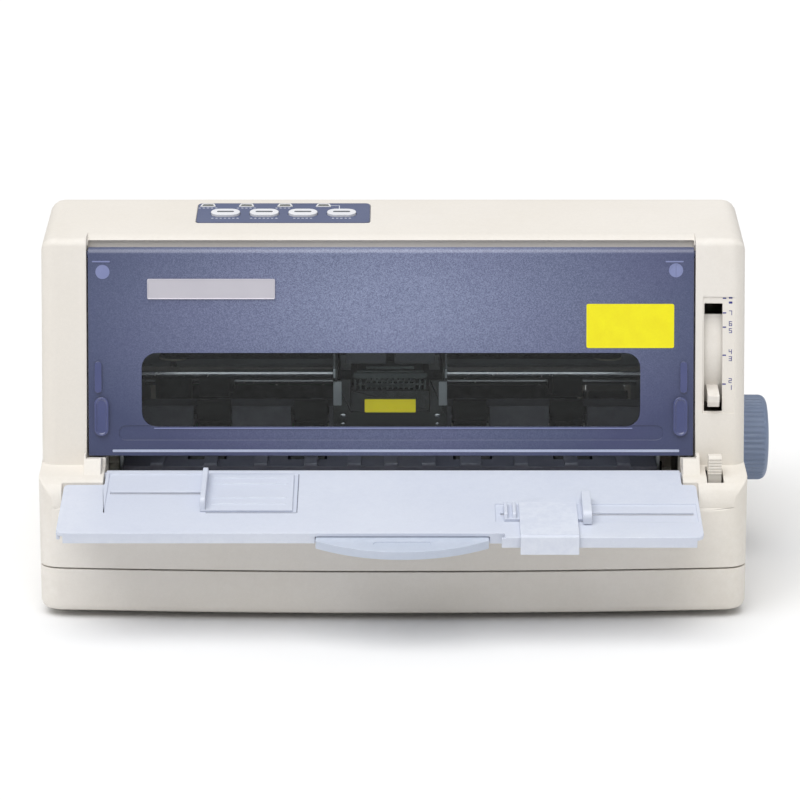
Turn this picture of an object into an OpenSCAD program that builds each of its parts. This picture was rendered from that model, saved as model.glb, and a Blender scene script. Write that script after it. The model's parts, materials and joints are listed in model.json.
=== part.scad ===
// Flatbed dot matrix printer: casing, tinted front cover, sheet tray and the whole print mechanism.
// Millimetres. +X is to the right of someone who faces the front, +Y is to the back, +Z is up.
// The pieces are drawn about the middle of the casing's front face, on the desk, and then moved so
// that the origin is the middle of the whole printer's footprint.

/* [Casing] */
// Width of the casing at the seam
case_w = 430; // [420:1:440]
// Depth of the casing
case_d = 350; // [346:1:360]
// Wall thickness of the mouldings
case_wall = 3; // [2.6:0.1:3.4]
// Height of the rubber feet under the casing
foot_h = 4; // [3:0.5:6]
// Diameter of the rubber feet
foot_d = 24; // [18:1:30]
// Height of the seam between the two cases
seam_z = 31.5; // [30:0.5:33]
// Width of the shadow gap at the seam
seam_gap = 0.8; // [0.5:0.1:1]
// How far the front face bows out in the middle
front_bow = 9; // [4:1:10]
// Radius of the upright corners
corner_r = 14; // [10:1:18]
// Radius along the sides of the roof and the columns
side_edge_r = 9; // [7:0.5:11]
// Radius of the roof's front edge
brow_r = 6; // [4.5:0.5:8]
// Height of the shoulder ledge at its front
ledge_z = 84; // [83.5:0.5:85]
// Depth of the shoulder ledge
ledge_d = 28; // [27.5:0.5:30]
// Depth of the roof's front edge behind the front face
brow_y = 50; // [48:1:54]
// Height of the roof's front edge
brow_z = 224.5; // [222:0.5:228]
// Depth of the ridge
ridge_y = 122; // [118:1:126]
// Height of the ridge
ridge_z = 237; // [236:0.5:240]
// Depth at which the rear cover starts
rear_brow_y = 258; // [256:1:262]
// Height of the roof where the rear cover starts
rear_brow_z = 208; // [205:1:212]
// Height of the rear wall, under the paper entry
rear_wall_z = 98; // [96:1:100]

/* [Covers] */
// Width of the front and rear covers
cover_w = 369; // [362:1:370]
// How far the covers' middle lies from the casing's middle
cover_x = -1.3; // [-3:0.1:0]
// Gap between the covers and the casing
cover_gap = 1; // [0.8:0.1:1.4]
// Thickness of the covers
cover_t = 2.5; // [2:0.1:3]
// Radius of the rolled top edge, which is the hinge barrel
barrel_r = 4.5; // [4:0.1:5]
// Distance of the hinge below the roof's edge, along the cover
hinge_drop = 9; // [8.5:0.1:10]
// Height of the front cover's foot
cover_foot_z = 94.4; // [94:0.2:96]
// Height of the rear paper entry, along the rear slope
rear_slot = 18; // [14:1:22]
// Width of the clear window
window_w = 304; // [280:1:310]
// Height of the clear window
window_h = 45; // [40:0.5:48]
// Height of the window above the foot of the cover
window_up = 17.8; // [17:0.2:22]
// Corner radius of the window
window_r = 9; // [6:0.5:14]
// Thickness of the window pane
pane_t = 1.6; // [1.2:0.1:2]
// Radius of the hinge pins
cover_pin_r = 2.2; // [1.8:0.1:2.6]

/* [Sheet tray] */
// Slope of the tray
tray_slope = 13; // [10:0.5:14]
// Length of the tray along its slope
tray_len = 80; // [76:1:86]
// Thickness of the tray
tray_t = 2.5; // [2:0.1:3]
// Depth of the tray's hinge line behind the front face
tray_pivot_y = 22; // [21:0.5:23]
// Height of the tray's hinge line
tray_pivot_z = 83; // [82:0.5:84]
// Radius of the tray's rolled rear edge
tray_barrel_r = 3.8; // [3.5:0.1:4.2]
// Radius of the tray's hinge pins
tray_pin_r = 2.5; // [2:0.1:2.6]
// Half the width of the neck between the hinge ears
neck_half = 174.5; // [168:0.5:175]
// Length of the neck
neck_len = 18; // [17.5:0.5:20]
// Left side of the wide part
tray_left = 198.7; // [196:0.1:200]
// Right side of the wide part
tray_right = 183; // [180:0.5:184]
// Height of the front lip
lip_h = 7; // [5:0.5:9]
// How far the right part reaches further forward
right_step = 5.5; // [3:0.5:7]
// Width of the pull-out extension
ext_w = 102; // [90:1:106]
// How far the extension's curved edge shows at rest
ext_show = 18; // [14:1:22]
// Height of the edge guides' walls
guide_h = 7; // [4:0.5:9]

/* [Paper path] */
// How far the mechanism's middle lies from the casing's middle
mech_x = -2; // [-4:0.5:0]
// Height of the paper path above the desk
path_z = 85; // [84.5:0.5:86]
// Depth of the rear feed shaft, which carries the knob
feed_y = 160; // [158:1:161]
// Depth of the print line
print_y = 125; // [124:1:126]
// Radius of the lower feed rollers
feed_r = 10.5; // [9.5:0.5:11]
// Radius of the feed shafts
shaft_r = 4; // [3.5:0.1:4.5]
// Radius of the upper pinch rollers
pinch_r = 6.9; // [6.3:0.1:7]
// Radius of the pinch roller shafts
pinch_shaft_r = 2.5; // [2:0.1:3]
// Width of each roller
roller_w = 21.5; // [18:0.5:24]
// Distance of the inner rollers from the middle
roller_in = 51.5; // [48:0.5:56]
// Distance of the outer rollers from the middle
roller_out = 114; // [108:0.5:118]
// Gap between the nipping rollers
nip_gap = 0.5; // [0.3:0.1:0.8]
// Half the distance between the side frames
frame_half = 165; // [163:1:166]
// Thickness of the steel side frames
frame_t = 2; // [1.5:0.1:2.5]
// Running clearance round shafts and pins
run_gap = 0.1; // [0.06:0.01:0.1]

/* [Gears] */
// Gear module
gear_m = 1.25; // [1.2:0.01:1.27]
// Width of the gears
gear_w = 6; // [5:0.5:7]
// Backlash at each mesh
backlash = 0.3; // [0.2:0.05:0.4]

/* [Carriage] */
// Height of the guide rod
rod_z = 118.3; // [117.5:0.1:119]
// Distance of the guide rod behind the print line
rod_back = 30; // [29:0.5:31]
// Radius of the guide rod
rod_r = 4; // [3.5:0.1:4.5]
// Width of the carriage
carriage_w = 72; // [68:1:76]
// Travel of the carriage to each side
carriage_travel = 118; // [110:1:119]
// Distance of the belt pulleys from the middle
pulley_x = 142; // [140:1:143]
// Depth of the belt pulleys
pulley_y = 192; // [191:1:193]
// Pitch radius of the belt pulleys
pulley_r = 8; // [7.5:0.1:8.5]

/* [Controls] */
// Diameter of the platen knob
knob_d = 55; // [48:1:58]
// How far the knob reaches past the casing
knob_len = 26; // [22:1:30]
// Width of the button panel
panel_w = 107; // [104:1:112]
// Depth of the button panel
panel_d = 35; // [33:0.5:36]
// Middle of the button panel from the casing's middle
panel_x = -68; // [-72:1:-64]
// Length of each button
button_w = 18; // [14:0.5:20]
// Depth of each button
button_d = 11; // [9:0.5:12]
// Distance between the buttons
button_pitch = 24; // [22:0.5:25]
// How far a button goes down
button_travel = 1.2; // [0.8:0.1:1.4]
// Middle of the slots of the two levers in the right column
lever_x = 195.2; // [195:0.2:197]
// Width of the two levers
lever_w = 8; // [6:0.5:8.5]

/* [Tractors] */
// Distance of each tractor from the middle at rest
tractor_x = 118; // [110:1:122]
// Width of a tractor
tractor_w = 20; // [18:1:22]
// Length of a tractor
tractor_len = 68; // [64:1:72]
// Height of the tractor shafts
tractor_z = 92; // [91:0.5:93]

/* [Hidden] */
$fn = 48;
BEIGE = [0.87, 0.85, 0.80];
TRAY_BLUE = [0.78, 0.82, 0.88];
KNOB_BLUE = [0.45, 0.52, 0.61];
TINT = [0.27, 0.30, 0.48];
CLEAR = [0.55, 0.62, 0.68];
STEEL = [0.62, 0.64, 0.66];
DARK = [0.12, 0.13, 0.14];
GREY = [0.42, 0.43, 0.47];
RUBBER = [0.05, 0.05, 0.05];
NYLON = [0.90, 0.89, 0.84];
BRASS = [0.75, 0.62, 0.30];
BOARD_GREEN = [0.10, 0.32, 0.18];
FIT = 0.3;
SLIDE_GAP = 0.4;
CUT = 1;

// Casing.
case_half = case_w / 2;
ledge_back_z = ledge_z + 4.5;
face_lean = atan((brow_y - ledge_d) / (brow_z - ledge_back_z));
function face_y(z) = ledge_d + (z - ledge_back_z) * tan(face_lean);
roof_slope = atan((ridge_z - brow_z) / (ridge_y - brow_y));
rear_lean = atan((case_d - rear_brow_y) / (rear_brow_z - rear_wall_z));
pan_z = seam_z - 3.5;
pan_t = 1.5;

// Covers: the hinge line lies one barrel radius behind the face, below the roof's edge.
cover_half = cover_w / 2;
front_pivot = [brow_y, brow_z] + hinge_drop * [-sin(face_lean), -cos(face_lean)]
    + barrel_r * [cos(face_lean), -sin(face_lean)];
rear_pivot = [rear_brow_y, rear_brow_z] + hinge_drop * [sin(rear_lean), -cos(rear_lean)]
    - barrel_r * [cos(rear_lean), sin(rear_lean)];
cover_len = (front_pivot[1] - barrel_r * sin(face_lean) * -1 - cover_foot_z) / cos(face_lean);
rear_cover_len = norm([case_d - rear_brow_y, rear_brow_z - rear_wall_z]) - hinge_drop - rear_slot;
pin_len = 5;

// Tray.
bay_left = tray_left + 1.5;
bay_right = tray_right + 1.5;
ear_r = neck_len - 1.5;
ext_x = (57 - 46) / 2;
plate_low = tray_barrel_r - tray_t;
ext_top = plate_low - SLIDE_GAP;
ext_t = 2.4;
ext_reach = tray_len + ext_show;
ext_travel = 60;
front_reach = ext_reach * cos(tray_slope) + ext_top * sin(tray_slope) - tray_pivot_y;

// The origin's move from the casing's front face to the middle of the whole footprint.
row_x = -knob_len / 2;
row_y = -(case_d - front_reach) / 2;

// Paper path and gears.
feed_teeth = 32;
long_teeth = 40;
pinion_teeth = 10;
feed_z = path_z - feed_r;
pinch_z = path_z + nip_gap + pinch_r;
feed_gear_r = gear_m * feed_teeth / 2;
long_gear_r = gear_m * long_teeth / 2;
pinion_r = gear_m * pinion_teeth / 2;
front_feed_y = feed_y - 4 * feed_gear_r;
idler_y = feed_y - 2 * feed_gear_r;
chain = feed_gear_r + long_gear_r;
chain_rise = asin((tractor_z - feed_z) / (2 * chain));
long_y = feed_y + chain * cos(chain_rise);
long_z = feed_z + chain * sin(chain_rise);
tractor_y = feed_y + 2 * chain * cos(chain_rise);
tractor_rod_y = tractor_y + tractor_len - 32;
pinion_y = idler_y;
pinion_z = feed_z - feed_gear_r - pinion_r;
frame_left = mech_x - frame_half;
frame_right = mech_x + frame_half;
gear_x = frame_left - frame_t - 1 - gear_w;
roller_places = [-roller_out, -roller_in, roller_in, roller_out];
guide_top = path_z - 0.5;

// Carriage.
rod_y = print_y + rod_back;
carriage_front = print_y - 18;
carriage_back = pulley_y - pulley_r - 5;
belt_w = 6;
belt_z = 124;
rail_z = 112;
rail_t = 2;
rail_y = carriage_back + 1;
rail_back = pulley_y + 20;
belt_motor_r = 12;

// Controls.
panel_y = (brow_y + ridge_y) / 2 + 11;
panel_z = brow_z + (panel_y - brow_y) * tan(roof_slope);
panel_t = 1.5;
lever_pivot = [100, 150];
lever_reach = 66;
lever_rest = 17.6;
lever_stud_r = 3;
release_pivot = [17, 58];

// ---- Helpers ----

function unit(v) = v / norm(v);
function turned(v, a) = [v[0] * cos(a) - v[1] * sin(a), v[0] * sin(a) + v[1] * cos(a)];

// The polygon p, counterclockwise, with every edge moved inwards by d.
function inset(p, d) = let (n = len(p)) [for (i = [0:n - 1])
    let (u = unit(p[i] - p[(i + n - 1) % n]), v = unit(p[(i + 1) % n] - p[i]))
    let (m = [-u[1] - v[1], u[0] + v[0]])
    p[i] + m * d / (1 + u * v)];

// The polygon p with each corner rounded to its radius in r.
function rounded(p, r, steps = 5) = let (n = len(p)) [for (i = [0:n - 1])
    let (u = unit(p[(i + n - 1) % n] - p[i]), v = unit(p[(i + 1) % n] - p[i]))
    let (half = acos(u * v) / 2, centre = p[i] + unit(u + v) * r[i] / sin(half))
    let (start = p[i] + u * r[i] / tan(half) - centre, side = cross(u, v) > 0 ? -1 : 1)
    each r[i] < 0.1 ? [p[i]]
        : [for (k = [0:steps]) centre + turned(start, side * (180 - 2 * half) * k / steps)]];

// Extrudes a (y, z) outline from x0 to x1, or an (x, z) outline from y0 to y1.
module along_x(x0, x1) translate([x0, 0, 0]) rotate([90, 0, 90]) linear_extrude(x1 - x0) children();
module along_y(y0, y1) translate([0, y1, 0]) rotate([90, 0, 0]) linear_extrude(y1 - y0) children();
module rod_x(x0, x1, r, at) translate([x0, at[0], at[1]]) rotate([0, 90, 0]) cylinder(h = x1 - x0, r = r);
module block(a, b) translate(a) cube(b - a);

module slab(w, h, t, r) {
    linear_extrude(t) round_rect(w, h, r);
}

module round_rect(w, h, r) {
    polygon(rounded([[-w / 2, -h / 2], [w / 2, -h / 2], [w / 2, h / 2], [-w / 2, h / 2]], [r, r, r, r]));
}

module oval(w, d, t) {
    linear_extrude(t) union() {
        square([w - d, d], center = true);
        for (s = [-1, 1]) translate([s * (w - d) / 2, 0]) circle(d = d);
    }
}

module placed() translate([row_x, row_y, 0]) children();

// Frames of the covers (y forward of the hinge is negative, z runs up the face), tray and panel.
module front_cover_frame() translate([cover_x, front_pivot[0], front_pivot[1]])
    rotate([-face_lean, 0, 0]) children();
module rear_cover_frame() translate([cover_x, rear_pivot[0], rear_pivot[1]]) mirror([0, 1, 0])
    rotate([-rear_lean, 0, 0]) children();
module tray_frame() translate([0, tray_pivot_y, tray_pivot_z]) rotate([tray_slope, 0, 0]) children();
module panel_frame() translate([panel_x, panel_y, panel_z]) rotate([roof_slope, 0, 0]) children();

// ---- Casing ----

plan_steps = 12;
plan_corners = [
    for (i = [0:plan_steps]) let (x = case_w * (i / plan_steps - 0.5))
        [x, -front_bow * (1 - pow(x / case_half, 2))],
    [case_half, case_d], [-case_half, case_d]
];
function plan(d) = let (r = corner_r - d)
    rounded(inset(plan_corners, d), [for (i = [0:plan_steps + 2]) i > 0 && i < plan_steps ? 0 : r]);

// Side outline of the casing under the columns, and of its front, which bows out under the tray.
function skirt(d) = rounded(inset([[0, seam_z], [case_d, seam_z], [case_d, 82], [45, 82],
    [45, ledge_back_z + 2], [ledge_d, ledge_back_z], [0, ledge_z]], d), [0, 0, 0, 0, 0, 0, 14 - d]);
apron = [[-front_bow - 3, seam_z], [20, seam_z], [20, 74], [0, 69], [-front_bow - 3, 58]];

// Side outline of the roof and the columns.
loaf_low = 60;
function loaf(d) = rounded(
    inset([[face_y(loaf_low), loaf_low], [case_d, loaf_low], [case_d, rear_wall_z],
        [rear_brow_y, rear_brow_z], [ridge_y, ridge_z], [brow_y, brow_z]], d),
    [0, 0, max(8 - d, 0), max(12 - d, 0), max(14 - d, 0), max(brow_r - d, 0)], 4);

// The roof and columns as one rounded loaf, d inside the outer skin.
module loaf_body(d) {
    r = side_edge_r - d;
    hull() for (s = [-1, 1], a = [0:22.5:90])
        translate([s * (case_half - side_edge_r + r * sin(a)) - 0.005, 0, 0])
            along_x(0, 0.01) polygon(loaf(d + r * (1 - cos(a))));
}

module skirt_body(d) {
    along_x(-case_half + d, case_half - d) polygon(skirt(d));
}

module case_body(d) {
    intersection() {
        translate([0, 0, seam_z - 20]) linear_extrude(ridge_z) polygon(plan(d));
        union() {
            skirt_body(d);
            loaf_body(d);
            if (d == 0) along_x(-case_half, case_half) polygon(apron);
            if (d > 0) translate([0, 0, -30]) along_x(-case_half, case_half)
                polygon([[-front_bow, seam_z], [case_d, seam_z], [case_d, 100], [20, 100], [-front_bow, 62]]);
        }
    }
}

// The bay in front, which the tray lies over: deep between the ears, shallow beside them.
neck_bay = [[-40, 50], [-12, 55], [0, 67], [18, 74], [46, 76], [46, 92], [-40, 92]];
side_bay = [[-40, 50], [-12, 55], [0, 67], [6, 69], [6, 97], [-40, 97]];
module bay(d) {
    along_x(-neck_half - 1 - d, neck_half + 1 + d) polygon(inset(neck_bay, -d));
    along_x(-bay_left - d, bay_right + d) polygon(inset(side_bay, -d));
}

// What a rolled cover needs open: its own place, the channel round its barrel and a ramp to the roof.
module cover_opening(length, ramp) {
    w = cover_half + cover_gap;
    r = barrel_r + cover_gap;
    along_x(-w, w) polygon([[-30, -length], [r, -length], [r, 0], [-30, 0]]);
    rod_x(-w, w, r, [0, 0]);
    along_x(-w, w) polygon([[-30, -1], [0, -1], [0, r], [ramp[0], r + ramp[1]], [ramp[0], 40], [-30, 40]]);
}

ear = rounded([[tray_pivot_y - 10, ledge_z], [tray_pivot_y + 9, ledge_z], [tray_pivot_y + 6, 97],
    [tray_pivot_y - 1, 97]], [0, 0, 3, 3]);

module upper_case() placed() color(BEIGE) {
    wall_in = cover_half + cover_gap;
    column_wall = 3;
    difference() {
        union() {
            difference() {
                case_body(0);
                difference() {
                    case_body(case_wall);
                    bay(case_wall);
                }
                bay(0);
            }
            // Inner walls of the columns, which carry both covers' hinge pins.
            for (s = [-1, 1]) intersection() {
                case_body(1);
                translate([cover_x + s * (wall_in + column_wall / 2 - 0.5), 0, 0])
                    along_x(-column_wall / 2, column_wall / 2)
                    polygon([[12, 42], [40, 42], [40, 82], [320, 82], [320, 110], [262, 240], [12, 240]]);
            }
            // Studs of the two levers, on the right column's inner wall.
            for (p = [lever_pivot, release_pivot]) {
                rod_x(cover_x + wall_in, lever_x + 3, lever_stud_r, p);
                rod_x(cover_x + wall_in, lever_x - lever_w / 2 - 1, lever_stud_r + 2, p);
            }
            // Ears over the tray's hinge pins.
            for (x = [-neck_half - 13.5, neck_half + 1.5]) along_x(x, x + 10.5) polygon(ear);
            // Bosses for the screws that come up through the lower case.
            for (s = [-1, 1], y = screw_rows) translate([s * screw_x, y, seam_z + 1])
                cylinder(r = 5, h = 22);
            for (s = [0, 1], y = screw_rows) mirror([s, 0, 0])
                block([screw_x + 3, y - 1, seam_z + 4], [case_half - 1, y + 1, seam_z + 20]);
        }
        block([-case_w, -60, 0], [case_w, case_d + 60, seam_z + seam_gap / 2]);
        front_cover_frame() cover_opening(cover_len + cover_gap, [9, 9]);
        rear_cover_frame() cover_opening(rear_cover_len + rear_slot - 3, [1, 12]);
        // Front paper slot, into the print bay.
        block([-neck_half - 1, 24, 79.5], [neck_half + 1, 70, 100]);
        // Hinge pins of the covers and the tray.
        rod_x(cover_x - wall_in - pin_len, cover_x + wall_in + pin_len, cover_pin_r + run_gap, front_pivot);
        rod_x(cover_x - wall_in - pin_len, cover_x + wall_in + pin_len, cover_pin_r + run_gap, rear_pivot);
        rod_x(-neck_half - 1 - pin_len - FIT, neck_half + 1 + pin_len + FIT, tray_pin_r + run_gap,
            [tray_pivot_y, tray_pivot_z]);
        // Knob shaft through the right side.
        rod_x(case_half - 12, case_half + 5, shaft_r + 2, [feed_y, feed_z]);
        // Slots and dial recess of the two levers in the right column.
        along_x(lever_x - lever_w / 2 - 1.5, lever_x + lever_w / 2 + 1.5)
            polygon([[20, 121], [60, 121], [60, 186], [20, 186]]);
        along_x(lever_x - lever_w / 2 - 2.5, lever_x + lever_w / 2 + 9)
            polygon([[0, 120], [face_y(120) + 0.8, 120], [face_y(190) + 0.8, 190], [0, 190]]);
        block([lever_x - lever_w / 2 - 1, release_pivot[0] - 11, 75],
            [lever_x + lever_w / 2 + 1, release_pivot[0] + 10, 100]);
        // Button panel in the roof.
        panel_frame() {
            translate([0, 0, -panel_t]) slab(panel_w + 2 * FIT, panel_d + 2 * FIT, 10, 3);
            for (i = [0:3]) translate([(i - 1.5) * button_pitch, button_row, -10]) oval(button_w + 2, button_d + 2, 12);
            for (i = [0:3]) translate([light_at(i), light_row, -10]) slab(8, 4, 12, 0.5);
        }
        rear_sockets();
        for (s = [-1, 1], y = screw_rows) translate([s * screw_x, y, seam_z]) cylinder(r = screw_r, h = 19);
        for (i = [0:9]) block([-40 + 8 * i, case_d - 2 * case_wall, 48], [-36.5 + 8 * i, case_d + 1, 78]);
    }
}

// Outline of the lower case, as wide as the upper one at the seam.
module lower_case() placed() color(BEIGE) {
    top = seam_z - seam_gap / 2;
    difference() {
        union() {
            difference() {
                union() {
                    translate([0, 0, foot_h + 5]) linear_extrude(top - foot_h - 5) polygon(plan(0));
                    hull() {
                        translate([0, 0, foot_h + 5]) linear_extrude(0.1) polygon(plan(0));
                        translate([0, 0, foot_h + 1.5]) linear_extrude(0.1) polygon(plan(1.5));
                        translate([0, 0, foot_h]) linear_extrude(0.1) polygon(plan(5));
                    }
                }
                translate([0, 0, foot_h + case_wall]) linear_extrude(top) polygon(plan(case_wall));
            }
            // Stands of the chassis pan, and bosses of the casing screws.
            for (x = [-1, 1], y = pan_screws) translate([mech_x + x * pan_screw_x, y, foot_h + 1])
                cylinder(r1 = 7, r2 = 5, h = pan_z - foot_h - 1);
            for (s = [-1, 1], y = screw_rows) translate([s * screw_x, y, foot_h + 1])
                cylinder(r = 6.5, h = top - foot_h - 1);
            // Tongue that locates the upper case.
            for (s = [-1, 1]) block([s * (case_half - 4.3) - 0.9, 60, 12], [s * (case_half - 4.3) + 0.9, 300, top + 3]);
        }
        for (s = [-1, 1], y = screw_rows) {
            translate([s * screw_x, y, foot_h - 1]) cylinder(r = screw_head_r + 0.5, h = 1 + screw_head_h);
            translate([s * screw_x, y, foot_h]) cylinder(r = screw_r, h = top);
        }
        for (s = [-1, 1], y = foot_rows) translate([s * foot_x, y, foot_h - 1])
            cylinder(d = foot_d, h = 2);
        for (s = [-1, 1], i = [0:11]) translate([s * 90, 130 + 14 * i, foot_h - 1])
            slab(60, 5, case_wall + 3, 2.4);
    }
}

screw_x = 198;
screw_rows = [70, 300];
screw_r = 1.7;
screw_head_r = 3.2;
screw_head_h = 3;
pan_screws = [80, 310];
pan_screw_x = 145;
foot_x = 175;
foot_rows = [34, 318];

module case_screws() placed() color(STEEL) for (s = [-1, 1], y = screw_rows) translate([s * screw_x, y, foot_h]) {
    difference() {
        union() {
            cylinder(r = screw_head_r, h = screw_head_h);
            cylinder(r = screw_r, h = seam_z + 14 - foot_h);
        }
        for (a = [0, 90]) rotate([0, 0, a]) cube([4, 0.8, 2.4], center = true);
    }
}

module rubber_feet() placed() color(RUBBER) for (s = [-1, 1], y = foot_rows) translate([s * foot_x, y, 0]) {
    rotate_extrude() polygon([[0, 0], [foot_d / 2 - 2.5, 0], [foot_d / 2 - 1.5, 0.8],
        [foot_d / 2 - 0.5, foot_h], [foot_d / 2 - 0.5, foot_h + 1], [0, foot_h + 1]]);
}

// ---- Covers ----

module front_cover() placed() color(TINT) front_cover_frame() difference() {
    union() {
        rolled_plate(cover_len);
        // Rim round the window, thumb pads in the lower corners and stops in the upper ones.
        for (s = [-1, 1]) translate([s * (cover_half - 8), -barrel_r, 0]) {
            translate([0, 0.5, 24 - cover_len]) rotate([90, 0, 0]) linear_extrude(1.7) round_rect(8, 23, 4);
            translate([s * 2, 0.5, 48 - cover_len]) rotate([90, 0, 0]) linear_extrude(1.4) round_rect(4, 19, 1.9);
        }
        for (s = [-1, 1]) block([s * (cover_half - 2) - 2, -barrel_r + 1, -cover_len], [s * (cover_half - 2) + 2, 1, -2]);
        along_x(-cover_half, cover_half) polygon([[-barrel_r + 1, -cover_len], [0.5, -cover_len],
            [0.5, 2.5 - cover_len], [-barrel_r + 1, 4 - cover_len]]);
    }
    // Window, with a rebate behind for its pane.
    window_place() translate([0, 0, -4]) slab(window_w, window_h, 12, window_r);
    window_place() slab(window_w + 6, window_h + 6, 12, window_r + 3);
    // Shallow band along the foot.
    translate([0, -barrel_r - 1, 14 - cover_len]) rotate([-90, 0, 0]) slab(332, 9, 1.6, 4);
}

// The pane's place: its outer face is the plane z = 0, and its inner face the cover's own.
module window_place() translate([0, -barrel_r + cover_t - pane_t, window_up + window_h / 2 - cover_len])
    rotate([-90, 0, 0]) children();

module cover_window() placed() color(CLEAR) front_cover_frame() {
    window_place() slab(window_w + 6, window_h + 6, pane_t, window_r + 3);
}

module cover_bumpers() placed() color(RUBBER) front_cover_frame() {
    for (s = [-1, 1]) translate([s * (cover_half - 9), cover_t - barrel_r, -11]) rotate([-90, 0, 0])
        cylinder(d = 8.5, h = 1.6);
}

// A cover's plate with its rolled top edge and hinge pins.
module rolled_plate(length) {
    along_x(-cover_half, cover_half) union() {
        circle(r = barrel_r);
        polygon([[-barrel_r, 0], [-barrel_r, -length], [cover_t - barrel_r, -length], [cover_t - barrel_r, 0]]);
    }
    rod_x(-cover_half - cover_gap - 2, cover_half + cover_gap + 2, cover_pin_r, [0, 0]);
}

module rear_cover() placed() color(BEIGE) rear_cover_frame() difference() {
    union() {
        rolled_plate(rear_cover_len);
        for (s = [-1, 1]) block([s * (cover_half - 2) - 2, -barrel_r + 1, -rear_cover_len],
            [s * (cover_half - 2) + 2, 3, -2]);
        // Ribs that the paper runs over, and the pull edge.
        for (i = [-5:5]) block([30 * i - 1, -barrel_r + 1, 4 - rear_cover_len], [30 * i + 1, 4, -40]);
        along_x(-cover_half, cover_half) polygon([[-barrel_r, -rear_cover_len], [1, -rear_cover_len],
            [1, 2.5 - rear_cover_len], [-barrel_r, 2.5 - rear_cover_len]]);
    }
    for (i = [-9:9]) translate([9 * i, -barrel_r - 1, -26]) rotate([-90, 0, 0]) slab(4, 22, 6, 1.9);
}

// ---- Sheet tray: x to the right, y backwards along the slope, z out of its surface ----

tray_top = tray_barrel_r;
left_recess = [-172.3, -57.5];
right_recess = [61, 181];
left_slot = -27;
right_slot = -54;
slot_w = 3;
left_rib = -115;
right_wall = 112.4;

module tray_outline() {
    polygon(rounded([[-tray_left, -tray_len], [66, -tray_len], [66, -tray_len - right_step],
        [tray_right, -tray_len - right_step], [tray_right, -neck_len], [neck_half, -neck_len],
        [neck_half, 0], [-neck_half, 0], [-neck_half, -neck_len], [-tray_left, -neck_len]],
        [5, 1, 1, 5, 3, 1, 0, 0, 1, 3], 3));
}

module paper_tray() placed() color(TRAY_BLUE) tray_frame() difference() {
    union() {
        translate([0, 0, plate_low]) linear_extrude(tray_t) tray_outline();
        rod_x(-neck_half, neck_half, tray_barrel_r, [0, 0]);
        rod_x(-neck_half - 1 - pin_len, neck_half + 1 + pin_len, tray_pin_r, [0, 0]);
        // Front lip and side skirts.
        block([-tray_left + 4, -tray_len, tray_top - lip_h], [66, -tray_len + tray_t, tray_top - 1]);
        block([64, -tray_len - right_step, tray_top - lip_h], [tray_right - 4, -tray_len - right_step + tray_t, tray_top - 1]);
        for (x = [-tray_left, tray_right - 2]) block([x, -tray_len + 3, tray_top - lip_h + 1], [x + 2, -neck_len - 2, tray_top - 1]);
        // Ribs underneath and the runners of the extension.
        for (x = [-150, -100, 90, 150]) block([x - 1, -tray_len + 4, plate_low - 3.5], [x + 1, -62, plate_low]);
        for (s = [-1, 1]) translate([ext_x, 0, 0]) {
            block([s * (ext_w / 2 + 1.9) - 1.5, -tray_len + 1, ext_top - ext_t - 2.2],
                [s * (ext_w / 2 + 1.9) + 1.5, -6, plate_low]);
            block([s * (ext_w / 2 - 1.1) - 1.9, -tray_len + 1, ext_top - ext_t - 2.2],
                [s * (ext_w / 2 - 1.1) + 1.9, -6, ext_top - ext_t - SLIDE_GAP]);
        }
    }
    // Mouth of the extension.
    block([ext_x - ext_w / 2 - SLIDE_GAP, -tray_len - 1, -20], [ext_x + ext_w / 2 + SLIDE_GAP, -tray_len + 3, plate_low]);
    // Sunk fields and the slots that the edge guides run in.
    block([left_recess[0], -54, tray_top - 0.8], [left_recess[1], -3, tray_top + 1]);
    block([right_recess[0], -66, tray_top - 0.8], [right_recess[1], -43, tray_top + 1]);
    block([left_recess[0] + 2, left_slot - slot_w / 2, -1], [left_recess[1] - 4, left_slot + slot_w / 2, tray_top + 1]);
    block([right_recess[0] + 3, right_slot - slot_w / 2, -1], [right_recess[1] - 2, right_slot + slot_w / 2, tray_top + 1]);
}

// Edge guides: a wall, a plate on the sunk field, and a key under the tray that a neck carries.
module guide_key(x0, x1, slot) {
    block([x0 + 2, slot - slot_w / 2 + FIT, -2], [x1 - 2, slot + slot_w / 2 - FIT, tray_top]);
    block([x0, slot - slot_w, -2.2], [x1, slot + slot_w, plate_low - FIT]);
}

guide_floor = tray_top - 0.7;

module left_edge_guide() placed() color(TRAY_BLUE) tray_frame() {
    block([left_rib, -52, guide_floor], [-60, -5, guide_floor + 1.2]);
    along_x(left_rib, left_rib + 3) polygon(rounded([[-52, guide_floor], [-5, guide_floor],
        [-5, tray_top + guide_h], [-50, tray_top + guide_h]], [0, 0, 5, 3]));
    for (y = [-44, -36, -18, -10]) block([left_rib + 6, y - 0.5, guide_floor + 1], [-64, y + 0.5, guide_floor + 1.6]);
    guide_key(left_rib, -80, left_slot);
}

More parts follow.
